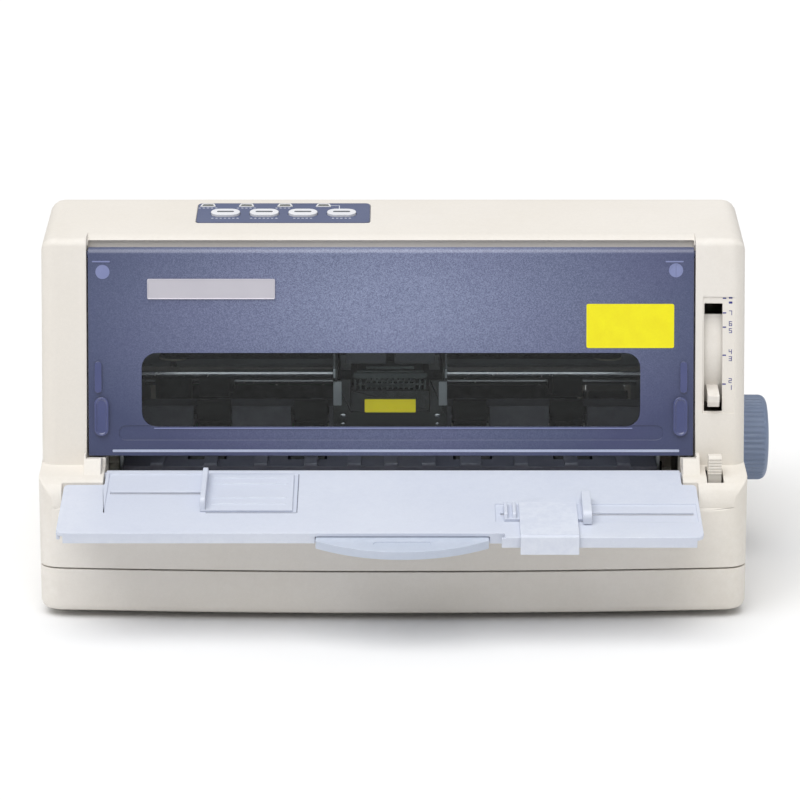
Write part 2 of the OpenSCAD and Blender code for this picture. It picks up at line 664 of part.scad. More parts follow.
module right_edge_guide() placed() color(TRAY_BLUE) tray_frame() {
    front = -tray_len - right_step;
    block([66, -64, guide_floor], [right_wall + 5.3, -45, guide_floor + 1.6]);
    block([75, front - 0.5, tray_top + SLIDE_GAP], [109.5, -45, tray_top + 2.4]);
    along_x(right_wall, right_wall + 5.3) polygon(rounded([[-64, guide_floor], [-45, guide_floor],
        [-45, tray_top + 0.4], [-37, tray_top + 0.4], [-37, tray_top + guide_h + 1], [-70, tray_top + guide_h + 1], [-70, tray_top + 0.4],
        [-64, tray_top + 0.4]], [0, 0, 0, 0, 4, 4, 0, 0]));
    for (x = [66, 71]) along_x(x, x + 2) polygon(rounded([[-64, guide_floor + 1], [-46, guide_floor + 1],
        [-46, tray_top + 4], [-62, tray_top + 4]], [0, 0, 2, 2]));
    // Tab that hooks over the front lip.
    along_x(75, 109.5) polygon([[front + 1, tray_top + 2.4], [front - 2.5, tray_top + 1.4],
        [front - 4, tray_top - lip_h - 2.5], [front - 2.4, tray_top - lip_h - 2.5], [front - 0.9, tray_top - 0.6],
        [front - 0.5, tray_top + SLIDE_GAP], [front + 1, tray_top + SLIDE_GAP]]);
    guide_key(70, right_wall, right_slot);
}

// Half chord and rise of the extension's curved edge give its radius.
ext_rise = ext_show - 4;
ext_r = (pow(ext_w / 2, 2) + pow(ext_rise, 2)) / (2 * ext_rise);
module ext_outline(d) intersection() {
    translate([-ext_w / 2 + d, -ext_reach - 1]) square([ext_w - 2 * d, ext_reach]);
    union() {
        translate([0, ext_r - ext_reach]) circle(r = ext_r - d, $fn = 180);
        translate([-ext_w / 2, -tray_len]) square([ext_w, tray_len]);
    }
}

module tray_extension() placed() color(TRAY_BLUE) tray_frame() translate([ext_x, 0, 0]) {
    difference() {
        union() {
            translate([0, 0, ext_top - ext_t]) linear_extrude(ext_t) intersection() {
                ext_outline(0);
                translate([-ext_w, -ext_reach - 1]) square([2 * ext_w, ext_reach - 12]);
            }
            // Turned-down rim along the curved edge.
            translate([0, 0, ext_top - ext_t - 3]) linear_extrude(4) intersection() {
                difference() {
                    ext_outline(0);
                    ext_outline(2);
                }
                translate([-ext_w, -ext_reach - 1]) square([2 * ext_w, ext_show - 1]);
            }
        }
        translate([0, -ext_reach + 10, ext_top - 0.5]) slab(34, 5, 2, 2.4);
    }
}

// ---- Controls ----

button_row = -2;
light_row = panel_d / 2 - 4.5;
function light_at(i) = (i - 1.5) * button_pitch - 11.5;

module control_panel() placed() color([0.38, 0.42, 0.53]) panel_frame() difference() {
    translate([0, 0, -panel_t]) slab(panel_w, panel_d, panel_t + 0.3, 3);
    for (i = [0:3]) {
        translate([(i - 1.5) * button_pitch, button_row, -5]) oval(button_w + 2 * FIT, button_d + 2 * FIT, 10);
        translate([light_at(i), light_row, -5]) slab(7.2, 3.2, 10, 0.5);
    }
}

module status_lights() placed() color([0.15, 0.35, 0.15]) panel_frame() for (i = [0:3])
    translate([light_at(i), light_row, -board_drop]) slab(6.8, 2.8, board_drop + 0.6, 0.5);

board_drop = 8;
switch_h = 2;
module button(i) panel_frame() translate([(i - 1.5) * button_pitch, button_row, 0]) {
    difference() {
        translate([0, 0, -4]) oval(button_w, button_d, 5.8);
        translate([0, 0, 1.6]) cube([button_w - 8, 0.8, 1], center = true);
    }
    translate([0, 0, -board_drop + switch_h + button_travel + FIT]) cylinder(d = 4, h = board_drop - switch_h - button_travel - 4 + FIT);
}
module eject_button() placed() color("white") button(0);
module feed_button() placed() color("white") button(1);
module speed_button() placed() color("white") button(2);
module online_button() placed() color("white") button(3);

module panel_board() placed() color(BOARD_GREEN) panel_frame() {
    translate([0, 0, -board_drop - 1.6]) slab(panel_w - 4, panel_d - 2, 1.6, 1);
    for (i = [0:3]) translate([(i - 1.5) * button_pitch, button_row, -board_drop + switch_h / 2])
        cube([6, 6, switch_h], center = true);
    // Posts up to the roof's underside.
    for (at = [[-panel_w / 2 + 4.5, -11], [panel_w / 2 - 4.5, -11], [light_at(0) + 12, 13], [panel_w / 2 - 4.5, 13]])
        translate([at[0], at[1], -board_drop])
        cylinder(r = 2.5, h = board_drop - panel_t - case_wall);
}

function ray(at, r, a) = at + r * [-cos(a), -sin(a)];

module thickness_lever() placed() color(BEIGE) {
    x0 = lever_x - lever_w / 2 + 0.5;
    x1 = lever_x + lever_w / 2 - 0.5;
    difference() {
        union() {
            along_x(lever_x - 4.5, lever_x - 0.5) polygon([ray(lever_pivot, -6, 90), ray(lever_pivot, 6, 90),
                ray(lever_pivot, lever_reach - 10, lever_rest + 3), ray(lever_pivot, lever_reach - 10, lever_rest - 3)]);
            rod_x(lever_x - 4.5, lever_x - 0.5, 7, lever_pivot);
            // Shield that follows the slot, and the tab that stands out of it.
            along_x(lever_x - 6.5, lever_x + 6.5) polygon(concat(
                [for (a = [-30:5:lever_rest + 12]) ray(lever_pivot, lever_reach - 9, a)],
                [for (a = [lever_rest + 12.4:-5:-30]) ray(lever_pivot, lever_reach - 11, a)]));
            along_x(x0, x1) polygon([ray(lever_pivot, lever_reach - 10, lever_rest + 2.6),
                ray(lever_pivot, lever_reach + 7, lever_rest + 3), ray(lever_pivot, lever_reach + 8, lever_rest),
                ray(lever_pivot, lever_reach + 7, lever_rest - 3), ray(lever_pivot, lever_reach - 10, lever_rest - 2.6)]);
        }
        rod_x(lever_x - 10, lever_x + 10, lever_stud_r + run_gap, lever_pivot);
    }
}

module release_lever() placed() color(BEIGE) difference() {
    union() {
        along_x(lever_x - lever_w / 2, lever_x + lever_w / 2) union() {
            polygon(rounded([[release_pivot[0] - 5, release_pivot[1]], [release_pivot[0] + 5, release_pivot[1]],
                [release_pivot[0] + 2.5, 98.3], [release_pivot[0] - 5.5, 98.3]], [0, 0, 2, 2]));
            translate(release_pivot) circle(r = 5);
        }
        // Grip ribs up the front.
        for (i = [0:5]) block([lever_x - lever_w / 2, release_pivot[0] - 6, 87 + 1.8 * i],
            [lever_x + lever_w / 2, release_pivot[0] - 4, 87.9 + 1.8 * i]);
    }
    rod_x(lever_x - 10, lever_x + 10, lever_stud_r + run_gap, release_pivot);
}

// Knob on the end of the rear feed shaft, with its grip ribs along the axis.
module platen_knob() placed() color(KNOB_BLUE) translate([case_half + 0.8, feed_y, feed_z]) rotate([0, 90, 0])
    difference() {
        intersection() {
            linear_extrude(knob_len) polygon([for (i = [0:knob_ribs - 1], k = [0, 1, 2, 3])
                let (a = 360 * (i + [0, 0.2, 0.5, 0.7][k]) / knob_ribs, r = knob_d / 2 - (k > 1 ? 0.7 : 0))
                r * [cos(a), sin(a)]]);
            rotate_extrude($fn = 96) polygon(concat([[0, 0], [knob_d / 2 - 1, 0], [knob_d / 2, 1]],
                [for (a = [0:15:90]) [knob_d / 2 - 5 + 5 * cos(a), knob_len - 0.8 - 5 + 5 * sin(a)]], [[0, knob_len - 0.8]]));
        }
        translate([0, 0, -1]) cylinder(r = shaft_r, h = knob_len - 8);
        translate([0, 0, -1]) difference() {
            cylinder(r = knob_d / 2 - 3, h = knob_len - 10);
            cylinder(r = shaft_r + 3, h = knob_len);
        }
    }
knob_ribs = 48;

// ---- Rollers and paper path ----

module roller_set(r, shaft, y, z, x0, x1) {
    rod_x(x0, x1, shaft, [y, z]);
    for (p = roller_places) rod_x(mech_x + p - roller_w / 2, mech_x + p + roller_w / 2, r, [y, z]);
}

module rear_feed_roller() placed() color(GREY)
    roller_set(feed_r, shaft_r, feed_y, feed_z, gear_x - 1, case_half + knob_len - 10);
module front_feed_roller() placed() color(GREY)
    roller_set(feed_r, shaft_r, front_feed_y, feed_z, gear_x - 1, frame_right + frame_t + 3);
module rear_pinch_roller() placed() color(DARK)
    roller_set(pinch_r, pinch_shaft_r, feed_y, pinch_z, frame_left - frame_t - 0.4, frame_right + frame_t + 3);
module front_pinch_roller() placed() color(DARK)
    roller_set(pinch_r, pinch_shaft_r, front_feed_y, pinch_z, frame_left - frame_t - 0.4, frame_right + frame_t + 3);

// Upper guide plate in front of the rear pinch rollers, cut out for them.
module pinch_roller_guide() placed() color([0.42, 0.42, 0.50]) difference() {
    along_x(frame_left, frame_right) polygon([[feed_y - 20, path_z + 1], [feed_y + 13, path_z + 1],
        [feed_y + 13, path_z + 12], [feed_y + 11.5, path_z + 12], [feed_y + 11.5, path_z + 2.5],
        [feed_y - 17, path_z + 2.5], [feed_y - 16, path_z + 14], [feed_y - 17.5, path_z + 14], [feed_y - 20, path_z + 2.5]]);
    for (p = roller_places) block([mech_x + p - roller_w / 2 - 1.5, feed_y - 21, 60],
        [mech_x + p + roller_w / 2 + 1.5, feed_y + pinch_r + 1.5, 130]);
    block([frame_left - CUT, feed_y - pinch_shaft_r - 1, path_z + 5], [frame_right + CUT, feed_y + pinch_shaft_r + 1, 100]);
}

// Lower guides: sheet channels with ribs that the paper slides on, cut out for the feed rollers.
module lower_guide(y0, y1, roller_y) difference() {
    union() {
        along_x(frame_left, frame_right) polygon([[y0, guide_top - 2], [y1, guide_top - 2], [y1, guide_top - 14],
            [y1 - 1.5, guide_top - 14], [y1 - 1.5, guide_top - 3.5], [y0 + 1.5, guide_top - 3.5],
            [y0 + 1.5, guide_top - 10], [y0, guide_top - 10]]);
        for (x = rib_places, w = x == wide_rib ? wide_rib_w : rib_w) along_x(mech_x + x - w / 2, mech_x + x + w / 2)
            polygon(rounded([[y0, guide_top - 3], [y1, guide_top - 3], [y1, guide_top], [y0, guide_top]],
                [0, 0, 1.5, 1.5], 3));
    }
    for (p = roller_places) block([mech_x + p - roller_w / 2 - 1.5, roller_y - feed_r - 1.5, 60],
        [mech_x + p + roller_w / 2 + 1.5, roller_y + feed_r + 1.5, 100]);
}
rib_places = [-144, -111, -80, -49, -22, 0.6, 24, 50, 81, 112, 144.5];
rib_w = 8.4;
wide_rib = 50;
wide_rib_w = 13;

module lower_paper_guide() placed() color(GREY) lower_guide(50, print_y - 9, front_feed_y);
module rear_paper_guide() placed() color(GREY) lower_guide(print_y + 9, tractor_y - 18, feed_y);

// Flat platen that the needles strike against.
module platen_bar() placed() color(DARK) along_x(frame_left, frame_right)
    polygon(rounded([[print_y - 8, 70], [print_y + 8, 70], [print_y + 8, guide_top - 0.3],
        [print_y - 8, guide_top - 0.3]], [0, 0, 1.5, 1.5], 3));

// ---- Frame ----

frame_outline = rounded([[58, pan_z + pan_t], [300, pan_z + pan_t], [300, 108], [262, 116], [rail_back + 8, 140],
    [110, 140], [92, 104], [58, 100]], [4, 4, 8, 6, 10, 10, 6, 8], 4);

module side_frame(x) difference() {
    union() {
        along_x(x, x + frame_t) polygon(frame_outline);
        // Foot flange, on the pan.
        block([x > 0 ? x : x, 62, pan_z + pan_t], [x + frame_t, 296, pan_z + pan_t + 2]);
    }
    for (y = [front_feed_y, feed_y]) {
        rod_x(x - 1, x + frame_t + 1, shaft_r + run_gap, [y, feed_z]);
        rod_x(x - 1, x + frame_t + 1, pinch_shaft_r + run_gap, [y, pinch_z]);
    }
    rod_x(x - 1, x + frame_t + 1, rod_r, [rod_y, rod_z]);
    rod_x(x - 1, x + frame_t + 1, tractor_shaft_r + run_gap, [tractor_y, tractor_z]);
    rod_x(x - 1, x + frame_t + 1, tractor_rod_r, [tractor_rod_y, tractor_z]);
    if (x < 0) {
        rod_x(x - 1, x + frame_t + 1, 3.5 + run_gap, [pinion_y, pinion_z]);
        rod_x(x - 1, x + frame_t + 1, stud_r, [idler_y, feed_z]);
        rod_x(x - 1, x + frame_t + 1, stud_r, [long_y, long_z]);
    }
    for (y = [215, 235, 255]) rod_x(x - 1, x + frame_t + 1, 7, [y, 55]);
}
tractor_shaft_r = 3;
tractor_rod_r = 3;
stud_r = 2.5;

module left_side_frame() placed() color(STEEL) {
    side_frame(frame_left - frame_t);
    // Studs of the idler gears.
    for (p = [[idler_y, feed_z], [long_y, long_z]]) rod_x(gear_x - 0.8, frame_left - frame_t / 2, stud_r, p);
}

module right_side_frame() placed() color(STEEL) {
    side_frame(frame_right);
}

module chassis_pan() placed() color(STEEL) difference() {
    block([frame_left - frame_t, 58, pan_z], [frame_right + frame_t, 334, pan_z + pan_t]);
    for (x = [-1, 1], y = pan_screws) translate([mech_x + x * pan_screw_x, y, pan_z - 1])
        cylinder(r = 2, h = 5);
    for (i = [0:5]) translate([mech_x - 100 + 40 * i, 120, pan_z - 1]) slab(24, 44, 5, 8);
}

module guide_rod() placed() color([0.80, 0.81, 0.83]) rod_x(frame_left - frame_t, frame_right + frame_t, rod_r, [rod_y, rod_z]);

// Folded rail behind the carriage; it carries the motor and the idler pulley.
module rear_rail() placed() color(STEEL) difference() {
    along_x(frame_left, frame_right) polygon([[rail_y, rail_z - rail_t], [rail_back, rail_z - rail_t],
        [rail_back, rail_z + 24], [rail_back - rail_t, rail_z + 24], [rail_back - rail_t, rail_z], [rail_y, rail_z]]);
    translate([mech_x - pulley_x, pulley_y, rail_z - 10]) cylinder(r = 2 + run_gap, h = 20);
    translate([mech_x + pulley_x, pulley_y, rail_z - 10]) cylinder(r = 2, h = 20);
}

module carriage_motor() placed() color(DARK) translate([mech_x - pulley_x, pulley_y, rail_z - rail_t - 23]) {
    cylinder(r = belt_motor_r, h = 23);
    cylinder(r = 2, h = belt_z + belt_w / 2 + 3 - (rail_z - rail_t - 23));
}

module pulley(at) translate([mech_x + at, pulley_y, belt_z - belt_w / 2 - 1]) difference() {
    union() {
        linear_extrude(belt_w + 2) polygon([for (i = [0:19], k = [0, 0.4, 0.5, 0.9])
            let (a = 18 * (i + k), r = pulley_r - (k > 0.45 ? 1.6 : 0.9)) r * [cos(a), sin(a)]]);
        cylinder(r = pulley_r + 1.4, h = 1);
        translate([0, 0, belt_w + 1]) cylinder(r = pulley_r + 1.4, h = 1);
    }
    translate([0, 0, -1]) cylinder(r = 2 + run_gap, h = 20);
}
module motor_pulley() placed() color(NYLON) pulley(-pulley_x);
module idler_pulley() placed() color(NYLON) pulley(pulley_x);

// Flat loop round both pulleys.
module belt_loop(r) union() {
    translate([-pulley_x, -r]) square([2 * pulley_x, 2 * r]);
    for (s = [-1, 1]) translate([s * pulley_x, 0]) circle(r = r);
}
module carriage_belt() placed() color(RUBBER) translate([mech_x, pulley_y, belt_z - belt_w / 2 + 0.3])
    linear_extrude(belt_w - 0.6) difference() {
        belt_loop(pulley_r + 0.7);
        belt_loop(pulley_r - 0.7);
    }

// ---- Carriage ----

module carriage() placed() color(DARK) translate([mech_x, 0, 0]) difference() {
    union() {
        // Cheeks, floor and back, round the rod.
        for (s = [-1, 1]) along_x(s * (carriage_w / 2 - 1.5) - 1.5, s * (carriage_w / 2 - 1.5) + 1.5)
            polygon(rounded([[carriage_front, 92], [feed_y - 21.5, 92], [feed_y - 21.5, 104.5], [carriage_back, 105.5],
                [carriage_back, 126], [rod_y + 8, 141], [carriage_front + 4, 141], [carriage_front, 132]],
                [2, 2, 0, 3, 3, 4, 5, 3], 3));
        block([-carriage_w / 2, carriage_front, 92], [carriage_w / 2, feed_y - 21.5, 94.5]);
        block([-carriage_w / 2, carriage_front, 92], [carriage_w / 2, carriage_front + 2.5, 104]);
        rod_x(-carriage_w / 2, carriage_w / 2, 8.5, [rod_y, rod_z]);
        block([-carriage_w / 2, rod_y + 6, 113.5], [carriage_w / 2, carriage_back, 116]);
        // Clamp on the belt's front run.
        block([-9, carriage_back - 3, 113.5], [9, pulley_y - pulley_r + 3.5, 116]);
        block([-9, pulley_y - pulley_r - 4.5, 114], [9, pulley_y - pulley_r - 1.4, belt_z + 4]);
        block([-9, pulley_y - pulley_r + 1.4, 114], [9, pulley_y - pulley_r + 3.5, belt_z + 4]);
        // Side steps on the front.
        for (s = [-1, 1]) block([s * (carriage_w / 2 - 6) - 5, carriage_front - 2, 104], [s * (carriage_w / 2 - 6) + 5, carriage_front + 3, 118]);
    }
    rod_x(-carriage_w, carriage_w, rod_r + run_gap, [rod_y, rod_z]);
    block([-head_w / 2 - 0.5, print_y - 13, 80], [head_w / 2 + 0.5, print_y + 11, 100]);
}
head_w = 36;

// Print head: nose with the needles, body and cooling fins.
module print_head() placed() color([0.55, 0.56, 0.58]) translate([mech_x, 0, 0]) {
    along_y(print_y - 12, print_y + 10) polygon([[-5, 94.5], [-5, 86.2], [5, 86.2], [5, 94.5], [head_w / 2, 98], [head_w / 2, 106], [-head_w / 2, 106], [-head_w / 2, 98]]);
    block([-head_w / 2 - 6, print_y - 9, 94.5], [head_w / 2 + 6, print_y + 9, 97]);
    for (i = [0:5]) block([-head_w / 2 - 3, print_y - 12, 107.5 + 4 * i], [head_w / 2 + 3, print_y + 12, 109 + 4 * i]);
    block([-head_w / 2 + 3, print_y - 8, 105], [head_w / 2 - 3, print_y + 8, 131]);
}

// Ribbon cassette, which snaps in behind the head and reaches round it.
module ribbon_cassette() placed() color(DARK) translate([mech_x, 0, 0]) difference() {
    union() {
        translate([0, (print_y + 14 + carriage_back) / 2, 129]) slab(carriage_w - 6 - 2 * FIT, carriage_back - print_y - 14, 12, 4);
        for (s = [-1, 1]) block([s * (carriage_w / 2 - 8) - 3.5, print_y - 10, 129], [s * (carriage_w / 2 - 8) + 3.5, print_y + 20, 139]);
    }
    translate([18, rod_y + 2, 120]) cylinder(r = 3 + run_gap, h = 30);
}
module ribbon_knob() placed() color([0.2, 0.35, 0.6]) translate([mech_x + 18, rod_y + 2, 132]) {
    cylinder(r = 3, h = 9.4);
    translate([0, 0, 9.4]) linear_extrude(3.6) polygon([for (i = [0:35]) (i % 2 == 0 ? 8 : 7) * [cos(10 * i), sin(10 * i)]]);
}

// ---- Gears ----

// Involute gear with its teeth's flanks thinned for backlash; a tooth points along +x at turn 0.
function involute(rb, t) = rb * [cos(t) + t * PI / 180 * sin(t), sin(t) - t * PI / 180 * cos(t)];
function gear_outline(teeth) = let (
        rp = gear_m * teeth / 2, rb = rp * cos(20), ra = rp + gear_m * 0.95, rr = rp - gear_m * 1.25,
        at_pitch = acos(rb / rp), inv = tan(at_pitch) * 180 / PI - at_pitch,
        half = 90 / teeth - backlash / (4 * rp) * 180 / PI + inv,
        top = sqrt(pow(ra / rb, 2) - 1) * 180 / PI, low = max(rr, rb),
        start = low > rb ? sqrt(pow(low / rb, 2) - 1) * 180 / PI : 0)
    [for (i = [0:teeth - 1]) let (a = 360 * i / teeth) each concat(
        [rr * [cos(a - half), sin(a - half)]],
        [for (k = [0:4]) turned(involute(rb, start + (top - start) * k / 4), a - half)],
        [for (k = [4:-1:0]) let (p = involute(rb, start + (top - start) * k / 4)) turned([p[0], -p[1]], a + half)],
        [rr * [cos(a + half), sin(a + half)]])];

module gear(teeth, at, turn, bore, lightened = true) translate([gear_x, at[0], at[1]]) rotate([90, 0, 90]) difference() {
    union() {
        difference() {
            rotate([0, 0, turn]) linear_extrude(gear_w) polygon(gear_outline(teeth));
            if (lightened) for (z = [-1, gear_w - 1.5]) translate([0, 0, z]) difference() {
                cylinder(r = gear_m * (teeth / 2 - 3), h = 2.5);
                translate([0, 0, -1]) cylinder(r = 8, h = 6);
            }
        }
    }
    translate([0, 0, -1]) cylinder(r = bore, h = gear_w + 2);
    if (lightened) for (a = [0:60:300]) rotate([0, 0, a]) translate([gear_m * (teeth / 2 - 3) / 2 + 4, 0, -1])
        cylinder(r = 3, h = gear_w + 2);
}

// Turn of each gear that puts its teeth in its neighbour's gaps.
feed_pitch = 360 / feed_teeth;
rear_turn = 0;
idler_turn = feed_pitch / 2;
front_turn = 0;
function mesh_turn(turn, teeth, next, along) =
    along + 180 - (turn - along) * -teeth / next + 180 / next + (teeth % 2 == 0 ? 0 : 0);
long_turn = mesh_turn(rear_turn, feed_teeth, long_teeth, chain_rise);
tractor_turn = mesh_turn(long_turn, long_teeth, feed_teeth, chain_rise);
pinion_turn = mesh_turn(idler_turn, feed_teeth, pinion_teeth, -90);

module rear_feed_gear() placed() color(NYLON) gear(feed_teeth, [feed_y, feed_z], rear_turn, shaft_r);
module idler_gear() placed() color(NYLON) gear(feed_teeth, [idler_y, feed_z], idler_turn, stud_r + run_gap);
module front_feed_gear() placed() color(NYLON) gear(feed_teeth, [front_feed_y, feed_z], front_turn, shaft_r);
module long_idler_gear() placed() color(NYLON) gear(long_teeth, [long_y, long_z], long_turn, stud_r + run_gap);
module tractor_gear() placed() color(NYLON) gear(feed_teeth, [tractor_y, tractor_z], tractor_turn, tractor_shaft_r);

module feed_motor() placed() color(DARK) {
    rod_x(frame_left, frame_left + 26, 17, [pinion_y, pinion_z]);
}
module feed_pinion() placed() color(BRASS) {
    gear(pinion_teeth, [pinion_y, pinion_z], pinion_turn, 1, false);
    rod_x(gear_x + gear_w - 1, frame_left - 0.3, 3.5, [pinion_y, pinion_z]);
}

// ---- Tractors ----

module hex_rod(x0, x1) rod_x(x0, x1, tractor_shaft_r, [tractor_y, tractor_z]);
module tractor_shaft() placed() color(STEEL) hex_rod(gear_x - 1, frame_right + frame_t + 3);
module tractor_rod() placed() color(STEEL)
    rod_x(frame_left - frame_t, frame_right + frame_t, tractor_rod_r, [tractor_rod_y, tractor_z]);

tractor_back = tractor_y - 16 + tractor_len;
module tractor(s) translate([mech_x + s * tractor_x, 0, 0]) {
    difference() {
        union() {
            along_x(-tractor_w / 2, tractor_w / 2) polygon(rounded([[tractor_y - 15, 83], [tractor_back, 83],
                [tractor_back, 101], [tractor_y - 15, 101]], [6, 6, 6, 6]));
            // Pin belt between the shafts.
            along_x(s > 0 ? -tractor_w / 2 - 3 : tractor_w / 2, s > 0 ? -tractor_w / 2 : tractor_w / 2 + 3)
                polygon(rounded([[tractor_y - 12, 85], [tractor_back - 3, 85], [tractor_back - 3, 99],
                [tractor_y - 12, 99]], [6, 6, 6, 6]));
            for (i = [0:3]) translate([-s * (tractor_w / 2 + 1.5), tractor_y - 4 + 12.7 * i, 98.5])
                cylinder(r1 = 1.2, r2 = 0.7, h = 2);
            // Lever that locks the tractor on its rod.
            translate([s * (tractor_w / 2 + 0.5) - 1, tractor_rod_y - 4, 95]) cube([2, 8, 12]);
        }
        rod_x(-tractor_w, tractor_w, tractor_shaft_r + run_gap, [tractor_y, tractor_z]);
        rod_x(-tractor_w, tractor_w, tractor_rod_r + run_gap, [tractor_rod_y, tractor_z]);
    }
    // Ears of the paper door.
    for (y = [tractor_y - 2, tractor_y + 33]) along_y(y, y + 4) difference() {
        translate([s * (tractor_w / 2 - 3) - 2.5, 100]) square([5, 6]);
        translate([s * (tractor_w / 2 - 3), 103.5]) circle(r = 1.2 + run_gap);
    }
}
module left_tractor() placed() color(DARK) tractor(-1);
module right_tractor() placed() color(DARK) tractor(1);

door_z = 103.5;
door_pin_r = 1.2;
ear_places = [tractor_y - 2, tractor_y + 33];
module tractor_door(s) translate([mech_x + s * (tractor_x + tractor_w / 2 - 3), 0, 0]) {
    mirror([s > 0 ? 0 : 1, 0, 0]) difference() {
        along_y(tractor_y - 10, tractor_y + 45) union() {
            circle(r = 2);
            polygon([[0, -1.2], [0, 1], [-tractor_w - 1, 1], [-tractor_w - 1, -1.2]]);
        }
        for (y = ear_places) block([-4.3, y - FIT, -5], [4, y + 4 + FIT, 5]);
        // Slot over the pins.
        block([-tractor_w + 1, tractor_y - 7, -5], [-tractor_w + 6, tractor_y + 38, 5]);
    }
    for (y = ear_places) translate([0, y + 4.5, 0]) rotate([90, 0, 0]) cylinder(r = door_pin_r, h = 5);
}
module left_tractor_door() placed() color(DARK) translate([0, 0, door_z]) tractor_door(-1);
module right_tractor_door() placed() color(DARK) translate([0, 0, door_z]) tractor_door(1);

// ---- Electronics ----

board_x = [-158, -30];
board_y = [232, case_d - case_wall - FIT];
board_z = pan_z + pan_t + 6;
ports = [[-125, 56, 12], [-70, 14, 11]];
inlet_at = [148, 58];
inlet_size = [27.5, 20];
switch_at = [112, 58];
switch_size = [13, 19];

module rear_sockets() {
    for (p = ports) block([p[0] - p[1] / 2 - FIT, case_d - 10, board_z + 1.6 - FIT],
        [p[0] + p[1] / 2 + FIT, case_d + 1, board_z + 1.6 + p[2] + FIT]);
    for (q = [[inlet_at, inlet_size], [switch_at, switch_size]]) translate([q[0][0], case_d - 10, q[0][1]])
        rotate([-90, 0, 0]) slab(q[1][0], q[1][1], 20, 2);
}

module main_board() placed() color(BOARD_GREEN) {
    difference() {
        block([board_x[0], board_y[0], board_z], [board_x[1], board_y[1], board_z + 1.6]);
        for (x = [board_x[0] + 5, board_x[1] - 5]) translate([x, board_y[0] + 5, board_z - 1]) cylinder(r = 1.6, h = 4);
    }
    // Standoffs, on the pan.
    for (x = [board_x[0] + 12, board_x[1] - 12], y = [board_y[0] + 8, 326])
        translate([x, y, pan_z + pan_t]) cylinder(r = 3, h = board_z - pan_z - pan_t);
    // Chips, heat sink and the two data sockets.
    for (c = [[-140, 255, 28, 28, 3], [-100, 262, 20, 12, 3], [-60, 250, 14, 14, 4], [-50, 290, 10, 10, 12]])
        translate([c[0], c[1], board_z + 1]) cube([c[2], c[3], c[4]]);
    for (i = [0:4]) block([-115 + 4 * i, 290, board_z + 1], [-113 + 4 * i, 318, board_z + 16]);
    for (p = ports) difference() {
        block([p[0] - p[1] / 2, case_d - 18, board_z + 1.6], [p[0] + p[1] / 2, case_d - 0.4, board_z + 1.6 + p[2]]);
        block([p[0] - p[1] / 2 + 2, case_d - 10, board_z + 3.4], [p[0] + p[1] / 2 - 2, case_d + 1, board_z + p[2]]);
    }
}

// Open power supply: tray, transformer, capacitors and a finned heat sink.
supply_x = [40, 158];
supply_y = [226, 322];
module power_supply() placed() color(STEEL) translate([0, 0, pan_z + pan_t]) {
    difference() {
        block([supply_x[0], supply_y[0], 0], [supply_x[1], supply_y[1], 14]);
        block([supply_x[0] + 1.5, supply_y[0] + 1.5, 1.5], [supply_x[1] - 1.5, supply_y[1] - 1.5, 60]);
    }
    block([58, 240, 1], [98, 276, 9]);
    block([62, 240, 9], [94, 276, 30]);
    block([58, 248, 7], [98, 268, 27]);
    for (x = [112, 130]) translate([x, 256, 1]) cylinder(r = 8, h = 28);
    for (i = [0:6]) block([60 + 5 * i, 292, 1], [61.5 + 5 * i, 312, 24]);
    block([60, 300, 1], [91.5, 302, 24]);
}

// Mains inlet, three blades in a socket, and the rocker beside it.
module power_inlet() placed() color(DARK) translate([inlet_at[0], 0, inlet_at[1]]) {
    difference() {
        translate([0, case_d - 26, 0]) rotate([-90, 0, 0]) slab(inlet_size[0] - 2 * FIT, inlet_size[1] - 2 * FIT, 26, 2);
        translate([0, case_d - 16, 0]) rotate([-90, 0, 0]) slab(22, 14, 20, 3);
    }
    for (x = [-6.5, 0, 6.5]) block([x - 1, case_d - 18, (x == 0 ? 1.5 : -1.5) - 2], [x + 1, case_d - 3, (x == 0 ? 1.5 : -1.5) + 2]);
    block([-inlet_size[0] / 2 - 2, case_d - case_wall - 2 - FIT, -5], [inlet_size[0] / 2 + 2, case_d - case_wall - FIT, 5]);
}
rocker_tilt = 8;
module power_switch() placed() color(DARK) translate([switch_at[0], case_d - 3, switch_at[1]]) {
    rotate([rocker_tilt, 0, 0]) rotate([0, 90, 0]) translate([0, 0, -switch_size[0] / 2 + 1]) difference() {
        linear_extrude(switch_size[0] - 2) polygon([[-8, -2], [-3, -6], [3, -6], [8, -2], [8, 1.4], [0, 0.6], [-8, 1.4]]);
        translate([0, -3, -1]) cylinder(r = 1.5 + run_gap, h = 20);
    }
}

lower_case();
upper_case();
front_cover();
cover_window();
cover_bumpers();
rear_cover();
paper_tray();
left_edge_guide();
right_edge_guide();
tray_extension();
control_panel();
eject_button();
feed_button();
speed_button();
online_button();
status_lights();
panel_board();
thickness_lever();
release_lever();
platen_knob();
rear_feed_roller();
front_feed_roller();
rear_pinch_roller();
front_pinch_roller();
pinch_roller_guide();
lower_paper_guide();
rear_paper_guide();
platen_bar();
left_side_frame();
right_side_frame();
chassis_pan();
guide_rod();
rear_rail();
carriage();
print_head();
ribbon_cassette();
ribbon_knob();
carriage_belt();
carriage_motor();
motor_pulley();
idler_pulley();
rear_feed_gear();
idler_gear();
front_feed_gear();
long_idler_gear();
tractor_gear();
feed_motor();
feed_pinion();
tractor_shaft();
tractor_rod();
left_tractor();
right_tractor();
left_tractor_door();
right_tractor_door();
main_board();
power_supply();
power_inlet();
power_switch();
rubber_feet();
case_screws();
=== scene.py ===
import json
from math import atan2, cos, pi, radians, sin

import bmesh
import bpy
from mathutils import Matrix, Vector


